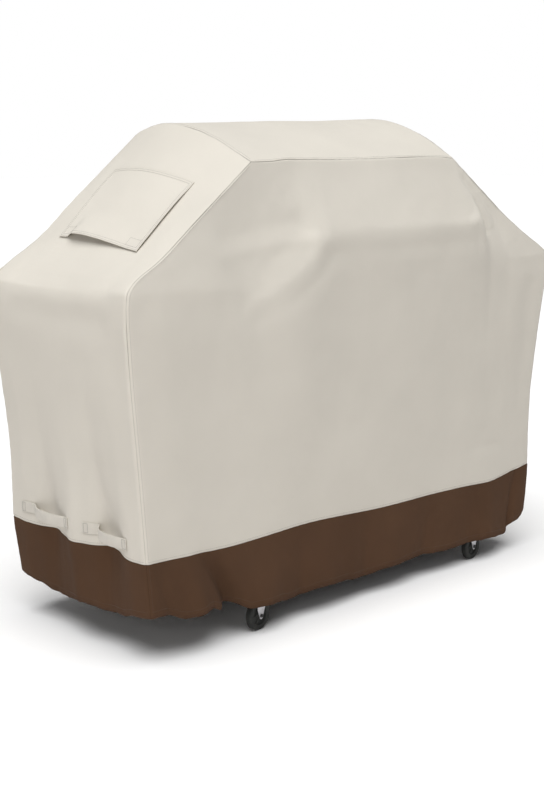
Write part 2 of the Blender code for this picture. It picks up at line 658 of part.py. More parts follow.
def make_casters(collection, cutters):
    """A mounting plate, fork, wheel and axle at each corner of the cart."""
    for place, (sign_x, sign_y) in CASTERS.items():
        x, y = CART_MIDDLE + sign_x * CASTER_SPREAD_X, sign_y * CASTER_SPREAD_Y
        frame = caster_frame(Vector((x, y, 0.0)))
        half = PLATE_SIDE / 2.0
        inward_x, inward_y = -sign_x * (half - LEG_SIDE / 2.0), -sign_y * (half - LEG_SIDE / 2.0)
        top = LEG_BOTTOM - TOUCH_GAP
        plate = block((x + inward_x - half, y + inward_y - half, top - PLATE_THICKNESS),
                      (x + inward_x + half, y + inward_y + half, top))
        add_object(f"caster_plate_{place}", plate, "zinc_steel", collection)
        make_fork(place, frame, collection, cutters)
        make_wheel(f"caster_wheel_{place}", frame, collection)
        make_axle(place, frame, collection, cutters)


def main():
    clear_scene()
    parts = new_collection("grill_cover")
    cutters = new_collection("cutters")
    make_upper_panels(parts)
    make_skirts(parts)
    make_vents(parts, cutters)
    make_handles(parts)
    make_legs(parts, cutters)
    make_shelves(parts, cutters)
    make_firebox(parts)
    make_lid(parts, cutters)
    make_casters(parts, cutters)


main()
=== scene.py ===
"""Looks of the fabric grill cover: sewn cloth panels, vents, handles, casters and the grill inside.

Metres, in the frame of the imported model: +X right along the front, -Y front, +Z up.
The cloth is one surface, a ring of four walls and a top, cut into its panels at the seams.
"""
import json
import math

import bmesh
import bpy
import numpy as np
from mathutils import Matrix, Vector


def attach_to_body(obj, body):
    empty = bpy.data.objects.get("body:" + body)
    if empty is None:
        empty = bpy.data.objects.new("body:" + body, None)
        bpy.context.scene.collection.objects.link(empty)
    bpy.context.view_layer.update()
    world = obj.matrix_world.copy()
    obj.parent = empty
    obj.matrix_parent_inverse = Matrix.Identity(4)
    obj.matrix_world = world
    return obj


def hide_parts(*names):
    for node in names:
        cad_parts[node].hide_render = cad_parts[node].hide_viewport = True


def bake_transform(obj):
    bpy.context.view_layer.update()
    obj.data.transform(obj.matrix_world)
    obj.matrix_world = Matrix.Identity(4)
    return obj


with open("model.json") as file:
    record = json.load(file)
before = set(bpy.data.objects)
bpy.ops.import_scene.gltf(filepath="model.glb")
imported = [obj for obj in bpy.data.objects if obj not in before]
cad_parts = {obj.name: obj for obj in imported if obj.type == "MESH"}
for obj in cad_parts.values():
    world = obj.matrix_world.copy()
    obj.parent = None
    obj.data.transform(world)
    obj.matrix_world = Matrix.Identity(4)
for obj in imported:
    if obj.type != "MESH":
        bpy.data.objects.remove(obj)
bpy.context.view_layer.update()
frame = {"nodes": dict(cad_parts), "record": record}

# ---- the camera ----

CAMERA_PLACE = (-2.3979, -2.5352, 1.1948)
CAMERA_TILT, CAMERA_TURN = math.radians(90.0 - 11.35), math.radians(-42.54)
CAMERA_LENS = 59.16


def make_camera():
    """The one camera, in front of the left corner and about as high as the cover."""
    data = bpy.data.cameras.new("camera")
    data.lens = CAMERA_LENS
    data.sensor_width = 36.0
    data.sensor_fit = "AUTO"
    camera = bpy.data.objects.new("camera", data)
    camera.location = CAMERA_PLACE
    camera.rotation_euler = (CAMERA_TILT, 0.0, CAMERA_TURN)
    bpy.context.scene.collection.objects.link(camera)
    bpy.context.scene.camera = camera


make_camera()

# ---- sizes of the cover ----

CLOTH = 0.0011
BORDER = 0.253                # height of the colour border
SHOULDER = 0.862              # height where the slopes begin
HOOD_TOP = 1.1365             # front seam of the hood
HOOD_LEFT, HOOD_RIGHT = -0.331, 0.397
HEM_LEVEL = 0.083             # nominal height of the hem, for the taper of the skirt
HOOD_FRONT = 0.212            # distance from the middle plane to the hood's front seam
BORDER_DEPTH = 0.2755         # the same for the front and back walls at the border
SLOPE_LOW = 0.865             # level where the vents' upward shares start; they end at the hood
SLOPE_SPAN = HOOD_TOP - SLOPE_LOW
FAR_FROM_SEAM = 0.1           # distance given to points that no seam shades
MM = 0.001
# Distances from a seam at which the cloth has extra lines of points.
SEAM_STEPS = (0.0, 0.0008, 0.0017, 0.0030, 0.0050, 0.0075, 0.0105, 0.0150, 0.0220)


def curve(*points):
    """A smooth line through (place, value) points that doesn't overshoot them."""
    x = np.array([p[0] for p in points], float)
    y = np.array([p[1] for p in points], float)
    step = np.diff(x)
    slope = np.diff(y) / step
    tangent = np.zeros_like(y)
    tangent[0], tangent[-1] = slope[0], slope[-1]
    same = slope[:-1] * slope[1:] > 0.0
    w1, w2 = 2 * step[1:] + step[:-1], step[1:] + 2 * step[:-1]
    with np.errstate(divide="ignore", invalid="ignore"):
        mean = (w1 + w2) / (w1 / slope[:-1] + w2 / slope[1:])
    tangent[1:-1] = np.where(same, mean, 0.0)

    def value(at):
        at = np.clip(np.asarray(at, float), x[0], x[-1])
        k = np.clip(np.searchsorted(x, at, side="right") - 1, 0, len(x) - 2)
        t = (at - x[k]) / step[k]
        a, b = y[k], y[k + 1]
        m, n = tangent[k] * step[k], tangent[k + 1] * step[k]
        return (a * (1 + 2 * t) * (1 - t) ** 2 + m * t * (1 - t) ** 2
                + b * t * t * (3 - 2 * t) + n * t * t * (t - 1))

    return value


def smooth(value, low, high):
    """0 at low, 1 at high, an S curve between; low may be the larger of the two."""
    t = np.clip((value - low) / (high - low), 0.0, 1.0)
    return t * t * (3.0 - 2.0 * t)


def lerp(a, b, t):
    return a + (b - a) * t


def noise(a, b, size, seed):
    """Smooth value noise from -1 to 1 over two coordinates in metres."""
    table = np.random.default_rng(seed).uniform(-1.0, 1.0, (64, 64))
    a, b = np.asarray(a) / size + 1000.0, np.asarray(b) / size + 1000.0
    i, j = np.floor(a).astype(int), np.floor(b).astype(int)
    s, t = a - i, b - j
    s, t = s * s * (3 - 2 * s), t * t * (3 - 2 * t)
    low = lerp(table[i % 64, j % 64], table[(i + 1) % 64, j % 64], s)
    high = lerp(table[i % 64, (j + 1) % 64], table[(i + 1) % 64, (j + 1) % 64], s)
    return lerp(low, high, t)


# Outlines of the front and back views: how far the ends stand from the middle at each height.
LEFT_FRONT = curve((HEM_LEVEL, -0.694), (BORDER, -0.7075), (0.48, -0.727), (0.75, -0.750), (0.82, -0.753),
                   (0.86, -0.748), (0.88, -0.732), (0.93, -0.644), (1.00, -0.539), (HOOD_TOP, HOOD_LEFT))
LEFT_BACK = curve((HEM_LEVEL, -0.698), (BORDER, -0.713), (0.45, -0.717), (0.65, -0.734), (0.80, -0.747),
                  (0.85, -0.739), (0.88, -0.704), (0.93, -0.615), (1.00, -0.522), (HOOD_TOP, HOOD_LEFT))
RIGHT_FRONT = curve((HEM_LEVEL, 0.694), (BORDER, 0.705), (0.40, 0.699), (0.64, 0.717), (0.84, 0.743),
                    (0.865, 0.742), (0.885, 0.720), (0.93, 0.646), (HOOD_TOP, HOOD_RIGHT))
RIGHT_BACK = curve((HEM_LEVEL, 0.696), (BORDER, 0.707), (0.50, 0.712), (0.84, 0.743), (0.865, 0.741),
                   (0.885, 0.718), (0.93, 0.645), (HOOD_TOP, HOOD_RIGHT))
# Distance of the front and back walls from the middle plane at each height.
WALL_DEPTH = curve((HEM_LEVEL, 0.2720), (BORDER, BORDER_DEPTH), (0.865, 0.2830), (1.2, 0.2830))
# Control points (y, z) of the hood's arch at its left and right ends.
LEFT_ARCH = ((-HOOD_FRONT, HOOD_TOP), (-0.095, 1.190), (0.090, 1.272), (0.240, 1.195))
RIGHT_ARCH = ((-HOOD_FRONT, HOOD_TOP), (-0.095, 1.213), (0.090, 1.292), (0.236, 1.200))


def arch(share, right):
    """(y, z) of the hood's arch, share running from the front seam to the back seam; right is 0 to 1."""
    t = np.asarray(share, float)
    weights = [(1 - t) ** 3, 3 * t * (1 - t) ** 2, 3 * t * t * (1 - t), t ** 3]
    knots = [[lerp(a, b, right) for a, b in zip(p, q)] for p, q in zip(LEFT_ARCH, RIGHT_ARCH)]
    return tuple(sum(w * knot[axis] for w, knot in zip(weights, knots)) for axis in (0, 1))


def graded(count, length, spots):
    """Shares from 0 to 1, closer together round the spots (share, width, strength) and at both seams."""
    fine = np.linspace(0.0, 1.0, 4001)
    density = 1.0 + sum(k * np.exp(-((fine - c) / w) ** 2) for c, w, k in spots)
    total = np.cumsum(density)
    total = (total - total[0]) / (total[-1] - total[0])
    ends = np.array(SEAM_STEPS) / length
    middle = np.interp(np.linspace(0.0, 1.0, count), total, fine)
    middle = middle[(middle > ends[-1] * 1.25) & (middle < 1.0 - ends[-1] * 1.25)]
    return np.concatenate([ends, middle, (1.0 - ends)[::-1]])


ACROSS = graded(168, 1.30, [(0.925, 0.025, 1.6), (0.17, 0.07, 0.6), (0.83, 0.04, 0.6), (0.36, 0.10, 0.4)])
ALONG = graded(70, 0.50, [(0.22, 0.09, 0.6)])
NX, NY = len(ACROSS), len(ALONG)


def upper_levels():
    """Heights of the rows from the border to the hood."""
    span = HOOD_TOP - BORDER
    spots = [((SHOULDER - BORDER) / span, 0.035, 3.0), ((0.96 - BORDER) / span, 0.06, 1.4),
             ((1.06 - BORDER) / span, 0.12, 0.7), (0.03, 0.05, 0.5)]
    return BORDER + span * graded(112, span, spots)


def skirt_shares():
    """Shares of the skirt's height, 0 at the hem and 1 at the border."""
    border_side = 1.0 - np.array(SEAM_STEPS[1:])[::-1] / (BORDER - HEM_LEVEL)
    hem_side = np.array([0.0, 0.012, 0.03, 0.055, 0.085])
    middle = np.linspace(0.125, border_side[0] - 0.05, 17)
    return np.concatenate([hem_side, middle, border_side])


SKIRT_ROWS = skirt_shares()
UPPER_ROWS = upper_levels()
NQ = len(SKIRT_ROWS)
NR = NQ + len(UPPER_ROWS)
ROW_LEVEL = np.concatenate([lerp(HEM_LEVEL, BORDER, SKIRT_ROWS), UPPER_ROWS])
RISE = np.clip((ROW_LEVEL - SHOULDER) / (HOOD_TOP - SHOULDER), 0.0, 1.0)

# Columns of the ring: front wall, right wall, back wall, left wall, sharing their corner columns.
CORNER = [0, NX - 1, NX + NY - 2, 2 * NX + NY - 3]
NC = 2 * NX + 2 * NY - 4
WALLS = {"front": (CORNER[0], CORNER[1]), "right": (CORNER[1], CORNER[2]),
         "back": (CORNER[2], CORNER[3]), "left": (CORNER[3], NC)}


def wall_columns(name):
    """Indices of one wall's columns, both corners included."""
    start, end = WALLS[name]
    return np.arange(start, end + 1) % NC


# ---- the shape under the folds ----

LEDGE_LINE = curve((-0.76, 0.862), (-0.50, 0.852), (-0.40, 0.800), (-0.30, 0.835), (-0.22, 0.884),
                   (-0.17, 0.938), (-0.135, 0.953), (0.43, 0.953), (0.47, 0.900), (0.52, 0.863),
                   (0.76, 0.862))
LEDGE_DEPTH = curve((-0.76, 0.285), (-0.38, 0.2815), (-0.175, 0.295), (0.0, 0.2965), (0.38, 0.2965),
                    (0.54, 0.2855), (0.76, 0.285))
CREASE_ROUND = 0.0068         # how softly the front panel bends over the ledge


def seam_depth(level):
    """Distance from the middle plane to the front seam at each height."""
    return lerp(WALL_DEPTH(level), HOOD_FRONT, np.clip((level - SHOULDER) / (HOOD_TOP - SHOULDER), 0, 1))


def seam_height(x):
    """Height of the front seam over a place along the front."""
    levels = np.linspace(SHOULDER, HOOD_TOP, 200)
    left = np.interp(x, LEFT_FRONT(levels), levels)
    right = np.interp(-x, -RIGHT_FRONT(levels), levels)
    return np.where(x < HOOD_LEFT, left, np.where(x > HOOD_RIGHT, right, HOOD_TOP))


def front_depth(x, z):
    """How far the front panel stands forward: up to the ledge, then leaning back to its seam."""
    ledge, depth = LEDGE_LINE(x), LEDGE_DEPTH(x)
    top = seam_height(x)
    low = lerp(BORDER_DEPTH, depth, (z - BORDER) / (ledge - BORDER))
    high = lerp(depth, seam_depth(top), (z - ledge) / np.maximum(top - ledge, 0.004))
    near = np.minimum(low, high)
    far = np.maximum(low, high)
    return near - CREASE_ROUND * np.log1p(np.exp(-np.minimum((far - near) / CREASE_ROUND, 40.0)))


def back_depth(x, z, level, end):
    """The back leans back to the hood in the same way, over a softer shelf edge."""
    rise = np.clip((level - SHOULDER) / (HOOD_TOP - SHOULDER), 0, 1)
    belly = 0.010 * np.exp(-((x - 0.04) / 0.38) ** 2) * np.exp(-((z - 0.93) / 0.10) ** 2)
    return lerp(WALL_DEPTH(level), end, rise) + belly


def ring_base():
    """The ring's points without folds, (columns, rows, 3)."""
    ring = np.zeros((NC, NR, 3))
    level = ROW_LEVEL[None, :]
    front = wall_columns("front")
    x = lerp(LEFT_FRONT(ROW_LEVEL)[None, :], RIGHT_FRONT(ROW_LEVEL)[None, :], ACROSS[:, None])
    depth = np.where(level < BORDER, WALL_DEPTH(ROW_LEVEL)[None, :] + 0 * x, front_depth(x, level + 0 * x))
    ring[front] = np.stack([x, -depth, level + 0 * x], axis=2)
    back = wall_columns("back")
    x = lerp(RIGHT_BACK(ROW_LEVEL)[None, :], LEFT_BACK(ROW_LEVEL)[None, :], ACROSS[:, None])
    end_y, end_z = arch(1.0, 1.0 - ACROSS[:, None])
    z = level + (end_z - HOOD_TOP) * RISE[None, :]
    ring[back] = np.stack([x, back_depth(x, z, level + 0 * x, end_y), z], axis=2)
    for name, reverse in (("right", False), ("left", True)):
        columns = wall_columns(name)
        share = ALONG[::-1] if reverse else ALONG
        y_arch, z_arch = arch(share, 0.0 if reverse else 1.0)
        first, last = ring[columns[0], :, 0], ring[columns[-1], :, 0]
        walk = (1.0 - share if reverse else share)[:, None]
        x = lerp(first[None, :], last[None, :], walk)
        straight = lerp(-1.0, 1.0, share)[:, None] * WALL_DEPTH(ROW_LEVEL)[None, :]
        y = lerp(straight, y_arch[:, None], RISE[None, :])
        z = level + (z_arch[:, None] - HOOD_TOP) * RISE[None, :]
        ring[columns[1:-1]] = np.stack([x, y, z], axis=2)[1:-1]
    return ring


def distances(points):
    """Running length along the first axis of a (n, m, 3) grid."""
    steps = np.linalg.norm(np.diff(points, axis=0), axis=2)
    return np.concatenate([np.zeros((1, points.shape[1])), np.cumsum(steps, axis=0)])


def point_at(points, lengths, reach):
    """Point of each line of the grid at a running length."""
    found = np.empty((points.shape[1], 3))
    for row in range(points.shape[1]):
        for k in range(3):
            found[row, k] = np.interp(reach[row], lengths[:, row], points[:, row, k])
    return found


def fillet(side_a, side_b, radius):
    """Round the meeting of two grids whose first lines coincide; both are changed in place."""
    corner = side_a[0].copy()
    spans = [(side, distances(side)) for side in (side_a, side_b)]
    reach = [point_at(side.copy(), lengths, radius) - corner for side, lengths in spans]
    for index, (side, lengths) in enumerate(spans):
        own, other = reach[index], reach[1 - index]
        turn = (1.0 - lengths / np.maximum(radius, 1e-6)[None, :]) * (math.pi / 4.0)
        inside = (lengths < radius[None, :])[:, :, None]
        near = (1.0 - np.sin(turn))[:, :, None] * own[None]
        across = (1.0 - np.cos(turn))[:, :, None] * other[None]
        side[:] = np.where(inside, corner[None] + near + across, side)


CORNER_ROUND = curve((HEM_LEVEL, 0.020), (BORDER, 0.016), (0.60, 0.014), (0.80, 0.012), (0.88, 0.008),
                     (HOOD_TOP, 0.006))


def round_corners(ring):
    """Soften the four upright seams."""
    radius = CORNER_ROUND(ROW_LEVEL)
    reach = min(NX, NY) // 2
    for corner in CORNER:
        ahead = (corner + np.arange(reach)) % NC
        behind = (corner - np.arange(reach)) % NC
        side_a, side_b = ring[ahead].copy(), ring[behind].copy()
        fillet(side_a, side_b, radius)
        ring[ahead], ring[behind] = side_a, side_b


def normals(grid, closed):
    """Unit normals of a (columns, rows, 3) grid, pointing out."""
    if closed:
        across = np.roll(grid, -1, axis=0) - np.roll(grid, 1, axis=0)
    else:
        across = np.gradient(grid, axis=0)
    upward = np.gradient(grid, axis=1)
    normal = np.cross(across, upward)
    return normal / np.maximum(np.linalg.norm(normal, axis=2, keepdims=True), 1e-12)


# ---- folds ----
# The ring is unrolled to (run, height): run is x along the front and goes on round both ends.

LEFT_TURN, RIGHT_TURN = -0.9825, 0.9655    # runs at the middles of the left and right walls


def on_left(y, z):
    return LEFT_TURN - y, z


def on_right(y, z):
    return RIGHT_TURN + y, z


def on_wall(place, folds):
    """Folds whose paths are given as (y, z) on an end wall, with the paths unrolled."""
    return [([place(*point) for point in path], start, end, width) for path, start, end, width in folds]


def crease(run, height, path, start, end, width):
    """Height of one fold: a ridge (or valley, if negative) along a path, strength start to end."""
    best = np.full(run.shape, 1e9)
    strength = np.zeros(run.shape)
    path = np.array(path, float)
    lengths = np.concatenate([[0.0], np.cumsum(np.linalg.norm(np.diff(path, axis=0), axis=1))])
    for index in range(len(path) - 1):
        a, b = path[index], path[index + 1]
        span = b - a
        share = np.clip(((run - a[0]) * span[0] + (height - a[1]) * span[1]) / (span @ span), 0.0, 1.0)
        gap = np.hypot(run - a[0] - share * span[0], height - a[1] - share * span[1])
        along = (lengths[index] + share * (lengths[index + 1] - lengths[index])) / lengths[-1]
        closer = gap < best
        best = np.where(closer, gap, best)
        strength = np.where(closer, lerp(start, end, along), strength)
    return strength * np.exp(-(best / width) ** 2)


# A fold is its path, its height in millimetres at the path's start and end, and its width.
FRONT_FOLDS = [
    # the ledge over the lid's handle bar: crest, tuck under it, curl at its right end
    ([(-0.13, 0.964), (0.0, 0.968), (0.43, 0.967)], 0.6, 2.0, 0.016),
    ([(-0.10, 0.917), (0.0, 0.918), (0.42, 0.922)], -1.5, -3.0, 0.024),
    ([(0.40, 0.968), (0.432, 0.985), (0.440, 1.030)], 3.0, 1.0, 0.014),
    # diagonal fold from the ledge down to the shelf
    ([(-0.165, 0.950), (-0.205, 0.912), (-0.245, 0.875), (-0.31, 0.842), (-0.39, 0.808)], 2.2, 1.2, 0.018),
    ([(-0.135, 0.915), (-0.175, 0.872), (-0.225, 0.832), (-0.29, 0.800), (-0.37, 0.775)], -4.0, -2.0, 0.024),
    ([(-0.195, 0.985), (-0.27, 0.940), (-0.34, 0.890)], -1.8, -0.8, 0.022),
    # soft ridge over the left shelf, valley above it
    ([(-0.19, 0.955), (-0.30, 0.945), (-0.47, 0.925)], 2.6, 1.2, 0.018),
    ([(-0.22, 1.000), (-0.34, 0.985), (-0.45, 0.968)], -2.6, -1.0, 0.020),
    # shelf edge from the left corner, and its shadow line
    ([(-0.735, 0.864), (-0.56, 0.862), (-0.40, 0.845)], 0.8, 0.6, 0.016),
    ([(-0.70, 0.825), (-0.54, 0.822), (-0.41, 0.805)], -1.4, -1.0, 0.026),
    # upright valley under the hood's right corner, with the ridge beside it
    ([(0.420, 1.080), (0.446, 1.030), (0.463, 0.975), (0.474, 0.940)], -3.5, -6.0, 0.011),
    ([(0.476, 0.915), (0.479, 0.860), (0.480, 0.760), (0.476, 0.640)], -3.5, -1.0, 0.022),
    ([(0.470, 1.045), (0.490, 0.995), (0.503, 0.960)], 2.0, 4.0, 0.013),
    ([(0.512, 0.930), (0.525, 0.905), (0.545, 0.880)], 2.0, 0.8, 0.018),
    ([(0.533, 0.985), (0.545, 0.935), (0.560, 0.880), (0.560, 0.760)], -2.0, -1.5, 0.022),
    ([(0.440, 0.990), (0.443, 0.930), (0.440, 0.850)], 1.5, 0.8, 0.018),
    ([(0.56, 0.864), (0.63, 0.862), (0.72, 0.866)], 0.4, 1.2, 0.014),
    ([(0.55, 0.830), (0.62, 0.828), (0.71, 0.832)], -0.6, -1.4, 0.020),
    # long soft folds of the hanging front
    ([(-0.655, 0.80), (-0.640, 0.55), (-0.60, 0.32)], 2.5, 1.5, 0.050),
    ([(-0.52, 0.79), (-0.50, 0.60), (-0.47, 0.42)], -2.5, -1.0, 0.055),
    ([(-0.30, 0.78), (-0.24, 0.60), (-0.22, 0.38)], 3.0, 1.0, 0.060),
    ([(-0.09, 0.90), (-0.08, 0.70), (-0.10, 0.45)], -3.0, -1.0, 0.055),
    ([(0.10, 0.88), (0.12, 0.65), (0.10, 0.40)], 3.0, 1.5, 0.065),
    ([(0.29, 0.88), (0.31, 0.70), (0.33, 0.45)], -2.5, -1.5, 0.050),
    ([(0.60, 0.80), (0.575, 0.60), (0.56, 0.40)], 3.0, 2.0, 0.045),
    ([(0.665, 0.78), (0.650, 0.60), (0.64, 0.42)], -3.0, -1.5, 0.030),
]
LEFT_FOLDS = on_wall(on_left, [
    # hollow under the shelf's end and soft uprights that run down to the handles
    ([(0.17, 0.800), (0.0, 0.792), (-0.17, 0.800)], -4.0, -4.0, 0.030),
    ([(0.19, 0.872), (0.0, 0.872), (-0.19, 0.872)], -5.0, -5.0, 0.030),
    ([(0.13, 0.66), (0.12, 0.52), (0.112, 0.38)], -1.0, -5.0, 0.032),
    ([(0.03, 0.70), (0.02, 0.55), (-0.004, 0.38)], 1.0, 3.0, 0.034),
    ([(-0.09, 0.68), (-0.10, 0.52), (-0.110, 0.38)], -1.0, -6.0, 0.028),
    ([(-0.18, 0.66), (-0.20, 0.50), (-0.21, 0.36)], 1.0, 2.5, 0.026),
    ([(0.22, 0.66), (0.21, 0.50), (0.21, 0.36)], 2.0, 2.5, 0.024),
    # the slope: slack beside the vent
    ([(-0.22, 0.90), (-0.205, 0.99), (-0.19, 1.08)], 0.8, 0.5, 0.018),
    ([(0.10, 1.00), (0.16, 1.06), (0.18, 1.12)], -1.2, -1.0, 0.030),
])
RIGHT_FOLDS = on_wall(on_right, [
    ([(0.17, 0.800), (0.0, 0.790), (-0.17, 0.800)], -4.5, -4.5, 0.030),
    ([(-0.19, 0.872), (0.0, 0.872), (0.19, 0.872)], -4.0, -4.0, 0.030),
    ([(0.12, 0.72), (0.11, 0.52), (0.12, 0.36)], -2.5, -6.0, 0.030),
    ([(0.02, 0.72), (0.01, 0.55), (-0.01, 0.36)], 2.5, 4.0, 0.034),
    ([(-0.12, 0.70), (-0.12, 0.52), (-0.13, 0.37)], -2.0, -6.0, 0.028),
    ([(-0.21, 0.68), (-0.21, 0.50), (-0.21, 0.34)], 2.0, 3.0, 0.022),
])
BACK_FOLDS = [
    # run is x on the back wall
    ([(-0.72, 0.866), (-0.50, 0.875), (-0.34, 0.890)], 2.0, 1.0, 0.013),
    ([(0.72, 0.866), (0.55, 0.875), (0.42, 0.890)], 2.0, 1.0, 0.013),
    ([(-0.69, 0.835), (-0.50, 0.840), (-0.36, 0.850)], -2.2, -1.4, 0.018),
    ([(0.69, 0.835), (0.55, 0.840), (0.44, 0.850)], -2.2, -1.4, 0.018),
    ([(-0.33, 0.935), (0.05, 0.950), (0.40, 0.935)], 3.5, 3.5, 0.022),
    ([(-0.24, 0.898), (0.05, 0.905), (0.32, 0.898)], -3.0, -3.0, 0.026),
    ([(-0.34, 0.93), (-0.42, 0.86), (-0.52, 0.77)], 3.5, 1.0, 0.018),
    ([(0.41, 0.93), (0.49, 0.86), (0.58, 0.78)], 3.5, 1.0, 0.018),
    ([(-0.32, 0.885), (-0.39, 0.825), (-0.48, 0.74)], -2.8, -1.0, 0.028),
    ([(0.40, 0.885), (0.46, 0.825), (0.55, 0.75)], -2.8, -1.0, 0.028),
    ([(-0.36, 1.09), (-0.38, 1.01), (-0.36, 0.94)], -3.0, -4.5, 0.018),
    ([(0.43, 1.09), (0.45, 1.01), (0.43, 0.94)], -3.0, -4.5, 0.018),
    ([(-0.56, 0.78), (-0.54, 0.55), (-0.55, 0.34)], 3.0, 1.5, 0.055),
    ([(-0.24, 0.84), (-0.22, 0.60), (-0.24, 0.36)], -3.5, -1.5, 0.060),
    ([(0.03, 0.84), (0.01, 0.60), (0.04, 0.36)], 3.5, 2.0, 0.070),
    ([(0.30, 0.84), (0.31, 0.60), (0.28, 0.36)], -3.5, -1.5, 0.055),
    ([(0.58, 0.78), (0.56, 0.55), (0.57, 0.34)], 3.0, 1.5, 0.050),
]
SKIRT_FOLDS = [
    ([(-0.668, 0.230), (-0.655, 0.16), (-0.640, 0.10)], -2.0, -9.0, 0.013),
    ([(-0.590, 0.222), (-0.568, 0.16), (-0.555, 0.09)], 7.0, 21.0, 0.030),
    ([(-0.545, 0.236), (-0.515, 0.205), (-0.490, 0.165), (-0.470, 0.125), (-0.455, 0.080)], -3.0, -36.0,
     0.019),
    ([(-0.510, 0.190), (-0.480, 0.13), (-0.47, 0.09)], -4.0, -5.0, 0.050),
    ([(-0.430, 0.195), (-0.395, 0.13), (-0.375, 0.08)], 3.0, 13.0, 0.040),
    ([(-0.337, 0.17), (-0.330, 0.06)], 3.0, 17.0, 0.040),
    ([(-0.235, 0.20), (-0.225, 0.07)], -2.0, -8.0, 0.028),
    ([(-0.12, 0.21), (-0.13, 0.08)], 2.0, 7.0, 0.045),
    ([(0.0, 0.20), (0.01, 0.07)], -2.0, -8.0, 0.030),
    ([(0.12, 0.21), (0.115, 0.08)], 1.5, 6.0, 0.042),
    ([(0.245, 0.20), (0.235, 0.07)], -2.5, -9.0, 0.028),
    ([(0.36, 0.21), (0.37, 0.08)], 1.0, 5.0, 0.045),
    ([(0.500, 0.27), (0.510, 0.16), (0.530, 0.06)], 4.0, 14.0, 0.056),
    ([(0.485, 0.16), (0.482, 0.05)], 3.0, 15.0, 0.042),
    ([(0.622, 0.235), (0.612, 0.16), (0.612, 0.08)], -3.0, -13.0, 0.012),
    ([(0.655, 0.22), (0.660, 0.12)], 5.0, 4.0, 0.026),
] + on_wall(on_left, [
    ([(0.22, 0.20), (0.22, 0.11)], 1.0, 4.0, 0.030),
    ([(0.00, 0.20), (-0.01, 0.11)], 2.0, 6.0, 0.036),
    ([(-0.22, 0.22), (-0.225, 0.12)], 1.0, 3.0, 0.026),
]) + on_wall(on_right, [
    ([(0.20, 0.20), (0.20, 0.10)], 2.0, 8.0, 0.034),
    ([(0.10, 0.22), (0.09, 0.10)], -6.0, -13.0, 0.028),
    ([(-0.01, 0.20), (-0.01, 0.10)], 3.0, 9.0, 0.036),
    ([(-0.13, 0.22), (-0.14, 0.10)], -7.0, -14.0, 0.026),
])
BACK_SKIRT_FOLDS = [
    ([(x, 0.21), (x + 0.01, 0.08)], 0.3 * size, size, width)
    for x, size, width in ((-0.60, 10, 0.045), (-0.47, -15, 0.030), (-0.35, 9, 0.045), (-0.20, -9, 0.032),
                           (-0.06, 8, 0.045), (0.10, -10, 0.030), (0.24, 9, 0.045), (0.40, -14, 0.030),
                           (0.53, 11, 0.045), (0.645, -9, 0.024))
]
BACK_FOLD_GAIN = 1.6


def bells(*shapes):
    """Sum of smooth bumps, each (place, height, width)."""

    def value(at):
        return sum(height * np.exp(-((at - place) / width) ** 2) for place, height, width in shapes)

    return value


# Where the cloth is pulled in behind the handles, and how that fades with height.
LEFT_DENT = bells((-0.225, -0.005, 0.030), (-0.145, 0.019, 0.036), (-0.105, 0.021, 0.026),
                  (-0.006, -0.0145, 0.034), (0.102, 0.018, 0.036), (0.205, -0.003, 0.030))
RIGHT_DENT = bells((-0.230, -0.005, 0.028), (-0.122, 0.022, 0.038), (-0.010, -0.014, 0.040),
                   (0.110, 0.020, 0.038), (0.220, -0.005, 0.030))
DENT_FADE = curve((0.06, 0.35), (0.16, 0.60), (0.235, 0.95), (0.285, 1.0), (0.330, 0.78), (0.40, 0.25),
                  (0.50, 0.0), (1.3, 0.0))

# Height of the hem and of the border along the run: each point is a crest or a dip.
HEM_LINE = curve((-1.29, 0.100), (-1.20, 0.097), (-1.07, 0.083), (-0.98, 0.093), (-0.90, 0.090),
                 (-0.83, 0.096), (-0.76, 0.115), (-0.69, 0.117), (-0.64, 0.110), (-0.60, 0.096),
                 (-0.53, 0.101), (-0.48, 0.086), (-0.45, 0.093), (-0.40, 0.074), (-0.34, 0.074),
                 (-0.24, 0.060), (-0.13, 0.068), (0.03, 0.058), (0.11, 0.064), (0.40, 0.063), (0.50, 0.065),
                 (0.60, 0.056), (0.62, 0.072), (0.67, 0.084), (0.70, 0.128), (0.85, 0.104), (1.05, 0.096),
                 (1.26, 0.104))
BORDER_LINE = curve((-1.29, 0.256), (-1.20, 0.252), (-0.76, 0.253), (-0.60, 0.249), (-0.46, 0.2445),
                    (-0.20, 0.249), (0.08, 0.237), (0.30, 0.236), (0.50, 0.230), (0.70, 0.251), (1.26, 0.255))
BACK_HEM_LINE = curve((-0.71, 0.104), (-0.55, 0.090), (-0.40, 0.082), (-0.20, 0.088), (0.0, 0.080),
                      (0.22, 0.087), (0.42, 0.081), (0.56, 0.088), (0.70, 0.104))


FRONT_RUN, BACK_RUN = (-0.7075, 0.690), (0.700, -0.707)    # ends of the front and back walls at the border


def runs():
    """Run of each ring column at the border, and a mask of the columns on the back wall."""
    run = np.zeros(NC)
    run[wall_columns("front")] = lerp(*FRONT_RUN, ACROSS)
    half = lerp(-BORDER_DEPTH, BORDER_DEPTH, ALONG)
    run[wall_columns("right")[1:]] = RIGHT_TURN + half[1:]
    run[wall_columns("left")[:-1]] = LEFT_TURN - half[::-1][:-1]
    back = np.zeros(NC, bool)
    back[wall_columns("back")[1:-1]] = True
    run[wall_columns("back")[1:-1]] = lerp(*BACK_RUN, ACROSS)[1:-1]
    return run, back


